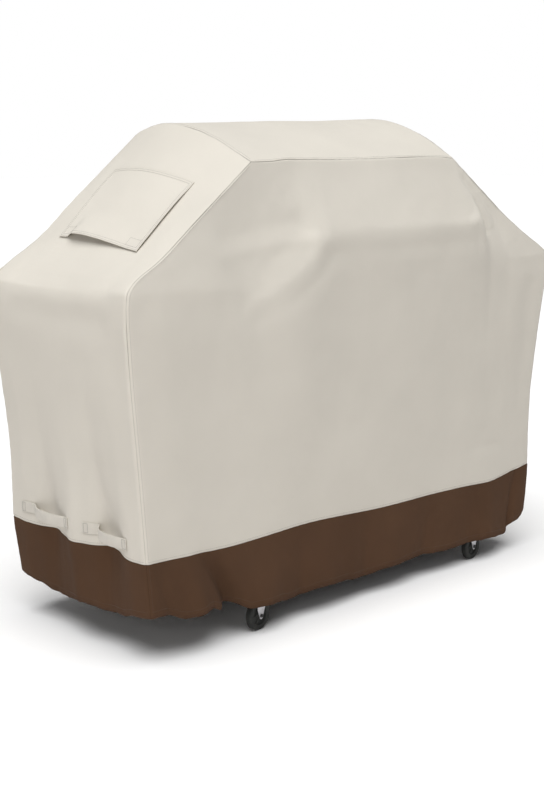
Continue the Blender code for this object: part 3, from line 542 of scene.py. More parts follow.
def place_skirt(ring):
    """Put the skirt's rows between the wavy border and the hem, and let the rows above follow the border."""
    run, back = runs()
    hem = np.where(back, BACK_HEM_LINE(run), HEM_LINE(run))
    hem = hem + 0.0022 * noise(run, run * 0, 0.060, 5) + 0.0013 * noise(run, run * 0, 0.019, 6)
    border = np.where(back, BORDER, BORDER_LINE(run))
    share = SKIRT_ROWS[None, :]
    ring[:, :NQ, 2] = lerp(hem[:, None], border[:, None], share)
    above = ROW_LEVEL[None, NQ:] - BORDER
    ring[:, NQ:, 2] += (border - BORDER)[:, None] * np.exp(-(above / 0.05) ** 2)


def ring_coordinates(ring):
    """Run and height of every ring point, for placing folds."""
    run, back = runs()
    grid = np.repeat(run[:, None], NR, axis=1)
    front = wall_columns("front")
    upper = slice(NQ, NR)
    grid[front, upper] = ring[front, upper, 0]
    ends = {"right": (RIGHT_TURN, 1.0), "left": (LEFT_TURN, -1.0)}
    for name, (turn, sign) in ends.items():
        columns = wall_columns(name)[1:-1]
        grid[columns, upper] = turn + sign * ring[columns, upper, 1]
    behind = wall_columns("back")[1:-1]
    grid[behind, upper] = ring[behind, upper, 0]
    return grid, ROW_LEVEL[None, :] + 0 * grid, ring[:, :, 2], back


def seam_gap_columns(ring, corner):
    """Distance of every ring point from one upright seam, along its row."""
    gap = np.full((NC, NR), 1.0)
    reach = min(NX, NY) - 1
    for sign in (1, -1):
        columns = (corner + sign * np.arange(reach)) % NC
        gap[columns] = np.minimum(gap[columns], distances(ring[columns]))
    return gap


def seam_profile(gap):
    """Groove at the seam, and a faint pad over the folded edges inside."""
    groove = -0.0009 * np.exp(-(gap / 0.0011) ** 2)
    pad = 0.00015 * np.exp(-((gap - 0.0058) / 0.0036) ** 2)
    return groove + pad


def pucker(gap, along, seed):
    """Small ripples along a seam that die out beside it."""
    wave = np.sin(2 * math.pi * (along / 0.031 + 0.6 * noise(along, along * 0, 0.09, seed)))
    return 0.00042 * wave * np.exp(-gap / 0.016) * (0.55 + 0.45 * noise(along, along * 0, 0.14, seed + 1))


def fold_field(ring):
    """How far every ring point is moved along its normal."""
    run, level, height, back = ring_coordinates(ring)
    field = np.zeros((NC, NR))
    rows_upper, rows_skirt = slice(NQ - 6, NR), slice(0, NQ + 14)
    for folds, columns, rows in ((FRONT_FOLDS + LEFT_FOLDS + RIGHT_FOLDS, ~back, rows_upper),
                                 (BACK_FOLDS, back, rows_upper), (SKIRT_FOLDS, ~back, rows_skirt),
                                 (BACK_SKIRT_FOLDS, back, rows_skirt)):
        pick = np.ix_(columns, np.arange(NR)[rows])
        place = height[pick] if rows is rows_skirt else level[pick]
        unit = MM * (BACK_FOLD_GAIN if folds is BACK_FOLDS else 1.0)
        for path, start, end, width in folds:
            field[pick] += crease(run[pick], place, path, unit * start, unit * end, width)
    fade = np.clip(DENT_FADE(level), 0, 1)
    for wall, dent, place in (("left", LEFT_DENT, LEFT_TURN - run), ("right", RIGHT_DENT, run - RIGHT_TURN)):
        columns = wall_columns(wall)[1:-1]
        field[columns] -= (dent(place) * fade)[columns]
    field += 0.0026 * noise(run, level, 0.21, 11) * (0.35 + 0.65 * smooth(level, 1.10, 0.95))
    field += 0.0011 * noise(run * 0.8 + level * 0.6, level * 0.9 - run * 0.5, 0.085, 12)
    field += 0.0004 * noise(run, level, 0.034, 13)
    hem_curl = np.exp(-((SKIRT_ROWS / 0.035) ** 2))
    field[:, :NQ] -= 0.0050 * hem_curl[None, :]
    hem_run = run[:, 0]
    gather = 0.0007 * np.sin(2 * math.pi * (hem_run / 0.037 + 0.8 * noise(hem_run, hem_run * 0, 0.10, 21)))
    field[:, :NQ] += gather[:, None] * (1 - smooth(SKIRT_ROWS, 0.02, 0.30))[None, :]
    hem_pad = 0.0007 * (1 - smooth(SKIRT_ROWS, 0.13, 0.17))
    stitched = 0.0005 * np.exp(-((SKIRT_ROWS - 0.125) / 0.012) ** 2)
    field[:, :NQ] += (hem_pad - stitched)[None, :]
    return field


# How fast a seam's shade fades with distance: upright seams below and above the shoulder, the hood's edge.
LOW_SEAM_FADE, HIGH_SEAM_FADE, HOOD_SEAM_FADE = 3.2, 1.3, 0.65
HOOD_SEAM_DEPTH = 1.15        # the hood's seams against the others


def add_seams(ring, field):
    """Grooves and ripples at the four upright seams, the border and the hood's edge; gives seam distances."""
    nearest = np.full((NC, NR), FAR_FROM_SEAM)
    for index, corner in enumerate(CORNER):
        gap = seam_gap_columns(ring, corner)
        fine = 0.55 + 0.45 * smooth(ring[:, :, 2], SHOULDER, SHOULDER + 0.04)
        field += fine * seam_profile(gap) + pucker(gap, ring[:, :, 2], 31 + index)
        fade = np.where(ring[:, :, 2] < SHOULDER + 0.02, LOW_SEAM_FADE, HIGH_SEAM_FADE)
        nearest = np.minimum(nearest, fade * gap)
    run, _ = runs()
    up = distances(ring.transpose(1, 0, 2)).T
    for row, seed, depth, fade in ((NQ, 41, 1.0, 1.0), (NR - 1, 43, HOOD_SEAM_DEPTH, HOOD_SEAM_FADE)):
        gap = np.abs(up - up[:, row:row + 1])
        field += seam_profile(gap) * depth
        field += pucker(gap, run[:, None] + 0 * gap, seed)
        nearest = np.minimum(nearest, gap * fade)
    return nearest


HOOD_SEAM_WAVE = curve((HOOD_LEFT, 0.0), (-0.27, 0.001), (-0.21, 0.0055), (-0.05, 0.003), (0.30, 0.006),
                       (HOOD_RIGHT, 0.0))


def build_ring():
    """The ring with its wavy hem, border and hood seam, and its rounded corners."""
    ring = ring_base()
    place_skirt(ring)
    top = ring[:, -1]
    wave = 0.0007 * noise(top[:, 0], top[:, 1], 0.085, 51) + 0.0007 * noise(top[:, 0], top[:, 1], 0.03, 52)
    front = wall_columns("front")
    wave[front] += HOOD_SEAM_WAVE(top[front, 0])
    up_gap = np.maximum(HOOD_TOP - ROW_LEVEL, 0.0)
    ring[:, :, 2] += wave[:, None] * np.exp(-(up_gap / 0.02) ** 2)[None, :]
    round_corners(ring)
    return ring


EDGE_FADE = 0.03              # reach of the ring's edge into the top


def build_top(ring):
    """The hood's top, (across, along, 3), its four edges taken from the ring."""
    x = lerp(HOOD_LEFT, HOOD_RIGHT, ACROSS)
    y, z = arch(ALONG[None, :], ACROSS[:, None])
    top = np.stack([x[:, None] + 0 * y, y, z], axis=2)
    y, z = arch(ALONG, 0.5)
    edges = {"front": ring[wall_columns("front"), -1], "back": ring[wall_columns("back")[::-1], -1],
             "right": ring[wall_columns("right"), -1], "left": ring[wall_columns("left")[::-1], -1]}
    run_y = np.concatenate([[0], np.cumsum(np.hypot(np.diff(y), np.diff(z)))])
    fade = [np.exp(-run_y / EDGE_FADE), np.exp(-(run_y[-1] - run_y) / EDGE_FADE)]
    top += ((edges["front"] - top[:, 0])[:, None] * fade[0][None, :, None]
            + (edges["back"] - top[:, -1])[:, None] * fade[1][None, :, None])
    gap_x = x - HOOD_LEFT
    fade = [np.exp(-gap_x / EDGE_FADE), np.exp(-(gap_x[-1] - gap_x) / EDGE_FADE)]
    top += ((edges["left"] - top[0])[None] * fade[0][:, None, None]
            + (edges["right"] - top[-1])[None] * fade[1][:, None, None])
    return top


def stitch_edges(ring, top):
    """Make the top's edges and the ring's last row the same points."""
    top[:, 0] = ring[wall_columns("front"), -1]
    top[:, -1] = ring[wall_columns("back")[::-1], -1]
    top[-1] = ring[wall_columns("right"), -1]
    top[0] = ring[wall_columns("left")[::-1], -1]


TOP_ROUND, ROUND_LINES = 0.007, 14    # radius of the hood's edge, and the lines of points it takes


def round_top(ring, top):
    """Soften the hood's edge all round."""
    views = {"front": top.transpose(1, 0, 2), "back": top[::-1, ::-1].transpose(1, 0, 2),
             "right": top[::-1], "left": top[:, ::-1]}
    for name, view in views.items():
        columns = wall_columns(name)
        wall = ring[columns][:, ::-1].transpose(1, 0, 2)[:ROUND_LINES].copy()
        inner = view[:ROUND_LINES].copy()
        edge = wall[0]
        run = np.concatenate([[0], np.cumsum(np.linalg.norm(np.diff(edge, axis=0), axis=1))])
        ends = np.minimum(run, run[-1] - run)
        radius = TOP_ROUND * smooth(ends, 0.0, 0.03) + 1e-5
        fillet(wall, inner, radius)
        ring[columns[1:-1], -ROUND_LINES:] = wall.transpose(1, 0, 2)[1:-1, ::-1]
        view[:ROUND_LINES, 1:-1] = inner[:, 1:-1]


RING = build_ring()
TOP = build_top(RING)
round_top(RING, TOP)
FIELD = fold_field(RING)
SEAM_GAP = add_seams(RING, FIELD)
RING = RING + normals(RING, True) * FIELD[:, :, None]


def top_gaps(top):
    """Distances of the top's points from its side edges and from its front and back edges."""
    across = top.transpose(1, 0, 2)
    return (np.minimum(distances(top), distances(top[::-1])[::-1]),
            np.minimum(distances(across), distances(across[::-1])[::-1]).T)


def top_field(top):
    """How far the top's points are moved along their normals: seams, ripples and slack."""
    gap_x, gap_y = top_gaps(top)
    field = HOOD_SEAM_DEPTH * (seam_profile(gap_x) + seam_profile(gap_y))
    field += pucker(gap_y, top[:, :, 0], 43) + pucker(gap_x, top[:, :, 1], 44)
    inner = smooth(np.minimum(gap_x, gap_y), 0.0, 0.07)
    field += inner * 0.0022 * noise(top[:, :, 0], top[:, :, 1], 0.17, 14)
    field += inner * 0.0005 * noise(top[:, :, 0], top[:, :, 1], 0.05, 15)
    return field


TOP = TOP + normals(TOP, False) * top_field(TOP)[:, :, None]
stitch_edges(RING, TOP)
RING_NORMAL = normals(RING, True)
TOP_NORMAL = normals(TOP, False)


# ---- meshes ----

def add_mesh(name, points, faces, material, smooth_shading=True, weave=None, edge=None):
    """A named object from points and faces, with the weave's coordinates and seam distances in metres."""
    data = bpy.data.meshes.new(name)
    points = np.asarray(points, float)
    data.from_pydata(points.tolist(), [], faces.tolist() if isinstance(faces, np.ndarray) else faces)
    data.materials.append(material)
    if smooth_shading:
        data.shade_smooth()
    for title, values in (("weave", weave), ("edge", edge)):
        if values is not None:
            layer = data.uv_layers.new(name=title)
            corner_points = np.empty(len(data.loops), np.int32)
            data.loops.foreach_get("vertex_index", corner_points)
            layer.data.foreach_set("uv", np.asarray(values, np.float32)[corner_points].ravel())
    data.validate()
    item = bpy.data.objects.new(name, data)
    bpy.context.scene.collection.objects.link(item)
    return item


def grid_faces(columns, rows, offset=0, flip=False, holes=None):
    """Quads of a (columns, rows) grid whose points are numbered column by column."""
    i, j = np.meshgrid(np.arange(columns - 1), np.arange(rows - 1), indexing="ij")
    if holes is not None:
        keep = ~holes
        i, j = i[keep], j[keep]
    i, j = i.ravel(), j.ravel()
    quads = np.stack([i * rows + j, (i + 1) * rows + j, (i + 1) * rows + j + 1, i * rows + j + 1], axis=1)
    return (quads[:, ::-1] if flip else quads) + offset


def border_faces(quads, count):
    """Strips that join an outer sheet to the inner one, along every open edge of the outer."""
    edges = np.concatenate([quads[:, [0, 1]], quads[:, [1, 2]], quads[:, [2, 3]], quads[:, [3, 0]]])
    keys = np.sort(edges, axis=1)
    order = keys[:, 0].astype(np.int64) * (count + 1) + keys[:, 1]
    _, first, times = np.unique(order, return_index=True, return_counts=True)
    rim = edges[first[times == 1]]
    return np.stack([rim[:, 1], rim[:, 0], rim[:, 0] + count, rim[:, 1] + count], axis=1)


def cloth_piece(name, grid, normal, material, thickness=CLOTH, weave=None, holes=None, seam=None):
    """A closed sheet: the grid, the same grid moved in by the thickness, and the edges between."""
    columns, rows = grid.shape[:2]
    count = columns * rows
    outer = grid.reshape(-1, 3)
    inner = (grid - normal * thickness).reshape(-1, 3)
    quads = grid_faces(columns, rows, holes=holes)
    faces = np.concatenate([quads, quads[:, ::-1] + count, border_faces(quads, count)])
    if weave is None:
        along = distances(grid)
        upward = distances(grid.transpose(1, 0, 2)).T
        weave = np.stack([along, upward], axis=2)
    weave = weave.reshape(-1, 2)
    seam = np.full(count, FAR_FROM_SEAM) if seam is None else seam.reshape(-1)
    points = np.concatenate([outer, inner])
    weave = np.concatenate([weave, weave])
    edge = np.tile(np.stack([seam, np.zeros(count)], axis=1), (2, 1))
    used = np.unique(faces)
    renumber = np.full(2 * count, -1)
    renumber[used] = np.arange(len(used))
    return add_mesh(name, points[used], renumber[faces], material, weave=weave[used], edge=edge[used])


def sheet_look(grid, normal, a, b):
    """Points and normals of a grid at fractional indices."""
    a = np.clip(np.asarray(a, float), 0, grid.shape[0] - 1.0001)
    b = np.clip(np.asarray(b, float), 0, grid.shape[1] - 1.0001)
    i, j = a.astype(int), b.astype(int)
    s, t = (a - i)[..., None], (b - j)[..., None]
    found = []
    for field in (grid, normal):
        low = lerp(field[i, j], field[i + 1, j], s)
        high = lerp(field[i, j + 1], field[i + 1, j + 1], s)
        found.append(lerp(low, high, t))
    return found[0], found[1] / np.linalg.norm(found[1], axis=-1, keepdims=True)


# ---- materials ----

class Shader:
    """A Principled material and short ways to add nodes to it."""

    def __init__(self, name, colour, roughness, metallic=0.0):
        self.material = bpy.data.materials.new(name)
        self.material.use_nodes = True
        self.tree = self.material.node_tree
        self.main = self.tree.nodes["Principled BSDF"]
        self.colour = colour
        self.main.inputs["Base Color"].default_value = (*colour, 1.0)
        self.main.inputs["Roughness"].default_value = roughness
        self.main.inputs["Metallic"].default_value = metallic

    def node(self, kind, **values):
        made = self.tree.nodes.new(kind)
        for key, value in values.items():
            setattr(made, key, value)
        return made

    def link(self, output, target):
        self.tree.links.new(output, target)

    def math(self, operation, first, second=None, third=None):
        made = self.node("ShaderNodeMath", operation=operation)
        for socket, value in zip(made.inputs, (first, second, third)):
            if value is None:
                continue
            if isinstance(value, (int, float)):
                socket.default_value = value
            else:
                self.link(value, socket)
        return made.outputs[0]

    def noise(self, scale, detail=3.0, roughness=0.5, stretch=None, space="Object"):
        place = self.node("ShaderNodeTexCoord").outputs[space]
        if stretch:
            mapping = self.node("ShaderNodeMapping")
            mapping.inputs["Scale"].default_value = stretch
            self.link(place, mapping.inputs["Vector"])
            place = mapping.outputs[0]
        made = self.node("ShaderNodeTexNoise")
        made.inputs["Scale"].default_value = scale
        made.inputs["Detail"].default_value = detail
        made.inputs["Roughness"].default_value = roughness
        self.link(place, made.inputs["Vector"])
        return made.outputs["Fac"]

    def ramp(self, factor, *stops):
        made = self.node("ShaderNodeValToRGB")
        elements = made.color_ramp.elements
        while len(elements) < len(stops):
            elements.new(0.5)
        for element, (place, colour) in zip(elements, stops):
            element.position = place
            element.color = (*colour, 1.0)
        self.link(factor, made.inputs[0])
        return made.outputs[0]

    def mix(self, factor, first, second, blend="MIX"):
        made = self.node("ShaderNodeMix", data_type="RGBA", blend_type=blend)
        for socket, value in ((made.inputs[0], factor), (made.inputs[6], first), (made.inputs[7], second)):
            if isinstance(value, (int, float)):
                socket.default_value = value
            elif isinstance(value, tuple):
                socket.default_value = (*value, 1.0)
            else:
                self.link(value, socket)
        return made.outputs[2]

    def bump(self, height, distance, strength=1.0, before=None):
        made = self.node("ShaderNodeBump")
        made.inputs["Distance"].default_value = distance
        made.inputs["Strength"].default_value = strength
        self.link(height, made.inputs["Height"])
        if before is not None:
            self.link(before, made.inputs["Normal"])
        return made.outputs[0]

    def set(self, name, source):
        if isinstance(source, (int, float)):
            self.main.inputs[name].default_value = source
        else:
            self.link(source, self.main.inputs[name])


def tinted(colour, factor):
    return tuple(min(1.0, c * factor) for c in colour)


def weave_height(shader, pitch, twill=0.0):
    """Plain weave from the cloth's own coordinates: each thread rises over every other crossing one."""
    place = shader.node("ShaderNodeUVMap", uv_map="weave").outputs[0]
    split = shader.node("ShaderNodeSeparateXYZ")
    shader.link(place, split.inputs[0])
    across = shader.math("MULTIPLY", split.outputs[0], math.pi / pitch)
    along = shader.math("MULTIPLY", split.outputs[1], math.pi / pitch)
    if twill:
        across = shader.math("MULTIPLY_ADD", split.outputs[1], twill * math.pi / pitch, across)
    wave_a, wave_b = shader.math("SINE", across), shader.math("SINE", along)
    checker = shader.math("MULTIPLY", wave_a, wave_b)
    threads = shader.math("MULTIPLY", shader.math("ABSOLUTE", wave_a), shader.math("ABSOLUTE", wave_b))
    return shader.math("MULTIPLY_ADD", checker, 0.45, threads)


# How far the painted shade along a seam reaches, in metres.
SEAM_SHADE_REACH = 0.0020


def seam_shade(shader):
    """Share of painted shade at a seam, from its distance in the edge layer."""
    split = shader.node("ShaderNodeSeparateXYZ")
    shader.link(shader.node("ShaderNodeUVMap", uv_map="edge").outputs[0], split.inputs[0])
    near = shader.math("SUBTRACT", 1.0, shader.math("DIVIDE", split.outputs[0], SEAM_SHADE_REACH))
    return shader.math("MULTIPLY", shader.math("POWER", shader.math("MAXIMUM", near, 0.0), 1.3), 0.8)


def make_fabric(name, colour, roughness, pitch, sheen, depth=0.00022, mottle=0.035, crumple=0.0012,
                gloss=0.3):
    """Coated woven polyester: weave, slow mottling, streaks, specks, small dents, soft sheen, painted shade
    in the weave's gaps and at the seams.
    """
    shader = Shader(name, colour, roughness)
    weave = weave_height(shader, pitch)
    cloud = shader.noise(4.5, 4.0, 0.55)
    streak = shader.noise(9.0, 3.0, 0.6, stretch=(1.0, 1.0, 0.22))
    speck = shader.noise(420.0, 2.0, 0.7)
    base = shader.ramp(cloud, (0.30, tinted(colour, 1.0 - mottle)),
                       (0.70, tinted(colour, 1.0 + 0.6 * mottle)))
    dirty = shader.mix(shader.math("MULTIPLY", streak, 0.10), base, tinted(colour, 0.86))
    grainy = shader.mix(shader.math("MULTIPLY", speck, 0.16), dirty, tinted(colour, 0.82))
    # Painted shade: the cloth is darker where the weave's height is low, between the threads.
    threads = shader.mix(shader.math("MULTIPLY_ADD", weave, -0.10, 0.10), grainy, tinted(colour, 0.70))
    # Painted shade: the cloth turns darker close to its seams, where the seam's groove would lie in shadow.
    shader.set("Base Color", shader.mix(seam_shade(shader), threads, tinted(colour, 0.42)))
    rough = shader.math("MULTIPLY_ADD", shader.noise(18.0, 3.0), 0.16, roughness - 0.08)
    shader.set("Roughness", rough)
    shader.set("Sheen Weight", sheen)
    shader.set("Sheen Roughness", 0.45)
    shader.set("Specular IOR Level", gloss)
    soft = shader.bump(shader.noise(26.0, 4.0, 0.55), crumple, 0.55)
    shader.set("Normal", shader.bump(weave, depth, 0.75, before=soft))
    return shader.material


def make_thread(name, colour):
    """Sewing thread, uneven at the scale of its twist."""
    shader = Shader(name, colour, 0.6)
    twist = shader.noise(1500.0, 2.0, 0.6, stretch=(1.0, 1.0, 0.4))
    shader.set("Base Color", shader.ramp(twist, (0.3, tinted(colour, 0.78)), (0.7, tinted(colour, 1.08))))
    shader.set("Normal", shader.bump(twist, 0.0002, 0.6))
    shader.set("Sheen Weight", 0.2)
    return shader.material


def make_webbing(name, colour):
    """Flat webbing with slanted ribs, and painted shade between them."""
    shader = Shader(name, colour, 0.78)
    weave = weave_height(shader, 0.0017, twill=0.5)
    cloud = shader.noise(30.0, 3.0)
    base = shader.ramp(cloud, (0.3, tinted(colour, 0.93)), (0.7, tinted(colour, 1.03)))
    # Painted shade: the webbing is darker where the weave is low, between the ribs.
    shader.set("Base Color", shader.mix(shader.math("MULTIPLY_ADD", weave, -0.22, 0.22), base,
                                        tinted(colour, 0.6)))
    shader.set("Sheen Weight", 0.18)
    shader.set("Normal", shader.bump(weave, 0.0005, 0.8))
    return shader.material


def make_fastener(name, colour):
    """Hook-and-loop tape: a field of tiny hooks, with painted shade between them."""
    shader = Shader(name, colour, 0.9)
    cells = shader.node("ShaderNodeTexVoronoi")
    cells.inputs["Scale"].default_value = 620.0
    shader.link(shader.node("ShaderNodeTexCoord").outputs["Object"], cells.inputs["Vector"])
    distance = cells.outputs["Distance"]
    # Painted shade: darker towards the cell edges, which the bump makes the low ground between the hooks.
    shader.set("Base Color", shader.ramp(distance, (0.0, tinted(colour, 1.05)), (0.7, tinted(colour, 0.55))))
    shader.set("Normal", shader.bump(shader.math("SUBTRACT", 1.0, distance), 0.0012, 0.9))
    shader.set("Sheen Weight", 0.3)
    return shader.material


def make_paint(name, colour, roughness, peel, coat=0.0):
    """Paint on steel: orange peel, and slow changes of colour and gloss."""
    shader = Shader(name, colour, roughness)
    fine, slow = shader.noise(900.0, 2.0, 0.6), shader.noise(14.0, 4.0, 0.6)
    shader.set("Base Color", shader.ramp(slow, (0.35, tinted(colour, 0.85)), (0.75, tinted(colour, 1.35))))
    shader.set("Roughness", shader.math("MULTIPLY_ADD", slow, 0.22, roughness - 0.10))
    shader.set("Specular IOR Level", 0.5)
    if coat:
        shader.set("Coat Weight", coat)
        shader.set("Coat Roughness", 0.08)
    shader.set("Normal", shader.bump(fine, peel, 0.5))
    return shader.material


def make_metal(name, colour, roughness, brush, stain=0.25):
    """Bare or plated steel with brushing along one direction and dull patches."""
    shader = Shader(name, colour, roughness, 1.0)
    lines = shader.noise(160.0, 3.0, 0.7, stretch=brush)
    patches = shader.noise(38.0, 4.0, 0.6)
    shader.set("Base Color", shader.ramp(patches, (0.30, tinted(colour, 1.0 - stain)),
                                         (0.62, tinted(colour, 1.04))))
    mixed = shader.math("MULTIPLY_ADD", patches, 0.22, roughness - 0.10)
    shader.set("Roughness", shader.math("MULTIPLY_ADD", lines, 0.12, mixed))
    shader.set("Normal", shader.bump(lines, 0.00012, 0.35))
    return shader.material


def make_rubber(name, colour):
    """Moulded rubber or plastic: matt, with pale scuffs."""
    shader = Shader(name, colour, 0.62)
    scuff, fine = shader.noise(55.0, 5.0, 0.65), shader.noise(1300.0, 2.0, 0.6)
    shader.set("Base Color", shader.ramp(scuff, (0.42, colour), (0.78, tinted(colour, 2.3))))
    shader.set("Roughness", shader.math("MULTIPLY_ADD", scuff, 0.25, 0.48))
    shader.set("Normal", shader.bump(fine, 0.0002, 0.5))
    return shader.material


CREAM = (0.735, 0.696, 0.620)
BROWN = (0.098, 0.052, 0.029)
cream = make_fabric("cream_cloth_look", CREAM, 0.80, 0.0011, 0.10)
brown = make_fabric("brown_cloth_look", BROWN, 0.85, 0.0011, 0.015, mottle=0.16, crumple=0.0018, gloss=0.12)
# Thread at half the cloth's tone: its darkness is painted shade along the stitch rows; the thread itself is
# about as pale as the cloth.
shade_darkened_cream_thread = make_thread("shade_darkened_cream_thread", tinted(CREAM, 0.50))
brown_thread = make_thread("brown_thread", tinted(BROWN, 0.6))
webbing = make_webbing("webbing_look", tinted(CREAM, 1.0))
net = make_fabric("vent_net_look", (0.05, 0.045, 0.04), 0.75, 0.0006, 0.2)
fastener = make_fastener("fastener_look", tinted(CREAM, 0.85))
painted = make_paint("painted_steel_look", (0.030, 0.030, 0.032), 0.46, 0.00025)
enamel = make_paint("lid_enamel_look", (0.018, 0.018, 0.020), 0.26, 0.00008, coat=0.5)
brushed = make_metal("handle_steel_look", (0.62, 0.62, 0.63), 0.30, (0.02, 1.0, 1.0))
zinc = make_metal("zinc_steel_look", (0.66, 0.66, 0.69), 0.34, (1.0, 1.0, 0.15))
rubber = make_rubber("caster_rubber_look", (0.017, 0.018, 0.016))
hub_plastic = make_rubber("caster_hub_look", (0.021, 0.022, 0.020))
bolt_steel = make_paint("axle_bolt_look", (0.012, 0.012, 0.013), 0.40, 0.0001)


# ---- cloth panels ----

HOLE_V, HOLE_W = (0.285, 0.670), (0.345, 0.625)    # the vent's hole in shares along and up the slope


def vent_cells(shares):
    """Which cells of an end panel are cut away for the vent's hole; shares are its columns' places."""
    v_mid = (shares[:-1] + shares[1:]) / 2
    level = ROW_LEVEL[NQ:]
    w_mid = ((level[:-1] + level[1:]) / 2 - SLOPE_LOW) / SLOPE_SPAN
    inside_v = (v_mid > HOLE_V[0]) & (v_mid < HOLE_V[1])
    inside_w = (w_mid > HOLE_W[0]) & (w_mid < HOLE_W[1])
    return inside_v[:, None] & inside_w[None, :]


def wall_weave(name):
    """Weave coordinates of a whole wall: level across, running up the cloth."""
    columns = wall_columns(name)
    grid = RING[columns]
    upward = distances(grid.transpose(1, 0, 2)).T
    axis = 0 if name in ("front", "back") else 1
    return np.stack([grid[:, :, axis], upward - upward[:, NQ:NQ + 1]], axis=2)


def attach(piece, body, node=None):
    """Fix a piece to a body, and hide the model's node that it stands for."""
    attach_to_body(piece, body)
    if node:
        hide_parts(node)


def make_panels():
    """The nine panels of the cover, cut from the ring and the top."""
    made = {}
    for wall in ("front", "back", "left", "right"):
        columns = wall_columns(wall)
        grid, normal, weave, seam = RING[columns], RING_NORMAL[columns], wall_weave(wall), SEAM_GAP[columns]
        upper, lower = slice(NQ, NR), slice(0, NQ + 1)
        title = f"{wall}_panel" if wall in ("front", "back") else f"{wall}_end_panel"
        holes = None
        if wall in ("left", "right"):
            holes = vent_cells(ALONG[::-1] if wall == "left" else ALONG)
        # Seam distances for the painted seam shade: along the border the cream gets none, so its lower edge
        # stays pale, while the skirt keeps a painted shade line below the border.
        cream_seam_shade_gap = seam[:, upper] + FAR_FROM_SEAM * (ROW_LEVEL[NQ:] < BORDER + 0.02)[None, :]
        made[title] = cloth_piece(f"{title}_cloth", grid[:, upper], normal[:, upper], cream,
                                  weave=weave[:, upper], holes=holes, seam=cream_seam_shade_gap)
        made[f"skirt_{wall}"] = cloth_piece(f"skirt_{wall}_cloth", grid[:, lower], normal[:, lower], brown,
                                            weave=weave[:, lower], seam=seam[:, lower])
    made["top_panel"] = cloth_piece("top_panel_cloth", TOP, TOP_NORMAL, cream,
                                    seam=np.minimum(*top_gaps(TOP)))
    for node, piece in made.items():
        attach(piece, "cover", node)
    return made


PANELS = make_panels()


# ---- stitches ----

STITCH_LENGTH, STITCH_WIDTH, STITCH_RISE, STITCH_PITCH = 0.0036, 0.0009, 0.0005, 0.0056
FINE_PITCH, BOX_PITCH = 0.0048, 0.0030
STITCH_GAP, HEM_STITCH_GAP = 0.0065, 0.020    # distance of the stitch lines from a seam and from the hem


def dashes(points, normal, pitch=STITCH_PITCH):
    """Stitches along a line: points and normals sampled densely, one short raised dash each pitch."""
    lengths = np.concatenate([[0], np.cumsum(np.linalg.norm(np.diff(points, axis=0), axis=1))])
    count = max(2, int(lengths[-1] / pitch))
    centres = (np.arange(count) + 0.5) * lengths[-1] / count

    def sample(field, at):
        return np.stack([np.interp(at, lengths, field[:, k]) for k in range(3)], axis=1)

    middle = sample(points, centres)
    ahead = sample(points, centres + STITCH_LENGTH / 2) - sample(points, centres - STITCH_LENGTH / 2)
    up = sample(normal, centres)
    up /= np.linalg.norm(up, axis=1, keepdims=True)
    ahead /= np.maximum(np.linalg.norm(ahead, axis=1, keepdims=True), 1e-9)
    side = np.cross(up, ahead)
    corners = []
    for height, spread, reach in ((-0.0004, 1.0, 1.0), (STITCH_RISE, 0.55, 0.72)):
        for a, b in ((-1, -1), (1, -1), (1, 1), (-1, 1)):
            corners.append(middle + ahead * a * reach * STITCH_LENGTH / 2
                           + side * b * spread * STITCH_WIDTH / 2 + up * height)
    return np.stack(corners, axis=1)


DASH_FACES = np.array([(3, 2, 1, 0), (4, 5, 6, 7), (0, 1, 5, 4), (1, 2, 6, 5), (2, 3, 7, 6), (3, 0, 4, 7)])


def stitch_piece(name, lines, material, body="cover"):
    """All the stitches of one thread as one piece."""
    boxes = np.concatenate(lines)
    faces = (DASH_FACES[None] + 8 * np.arange(len(boxes))[:, None, None]).reshape(-1, 4)
    piece = add_mesh(name, boxes.reshape(-1, 3), faces, material)
    if body:
        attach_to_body(piece, body)
    return piece


def column_line(wall, from_start, offset, rows):
    """Line of a wall beside one of its upright seams."""
    columns = wall_columns(wall)
    grid, normal = RING[columns], RING_NORMAL[columns]
    if not from_start:
        grid, normal = grid[::-1], normal[::-1]
    gap = distances(grid)
    index = np.array([np.interp(offset, gap[:, row], np.arange(len(gap))) for row in range(NR)])
    b = np.linspace(rows[0], rows[1], 900)
    return sheet_look(grid, normal, np.interp(b, np.arange(NR), index), b)


def row_line(wall, row, offset, margin=0.004):
    """Line of a wall that runs beside one of its level seams; offset is positive upwards."""
    columns = wall_columns(wall)
    grid, normal = RING[columns], RING_NORMAL[columns]
    up = distances(grid.transpose(1, 0, 2)).T
    target = up[:, row] + offset
    index = np.array([np.interp(t, up[c], np.arange(NR)) for c, t in enumerate(target)])
    run = distances(grid)[:, row]
    a = np.interp(np.linspace(margin, run[-1] - margin, 1800), run, np.arange(len(run)))
    return sheet_look(grid, normal, a, np.interp(a, np.arange(len(index)), index))


def top_line(edge, offset, margin=0.012):
    """Line of the hood's top beside one of its edges."""
    views = {"front": (TOP.transpose(1, 0, 2), TOP_NORMAL.transpose(1, 0, 2)),
             "back": (TOP[:, ::-1].transpose(1, 0, 2), TOP_NORMAL[:, ::-1].transpose(1, 0, 2)),
             "left": (TOP, TOP_NORMAL), "right": (TOP[::-1], TOP_NORMAL[::-1])}
    grid, normal = views[edge]
    gap = distances(grid)
    index = np.array([np.interp(offset, gap[:, k], np.arange(len(gap))) for k in range(grid.shape[1])])
    run = distances(grid.transpose(1, 0, 2))[:, 0]
    b = np.interp(np.linspace(margin, run[-1] - margin, 1500), run, np.arange(len(run)))
    return sheet_look(grid, normal, np.interp(b, np.arange(len(index)), index), b)


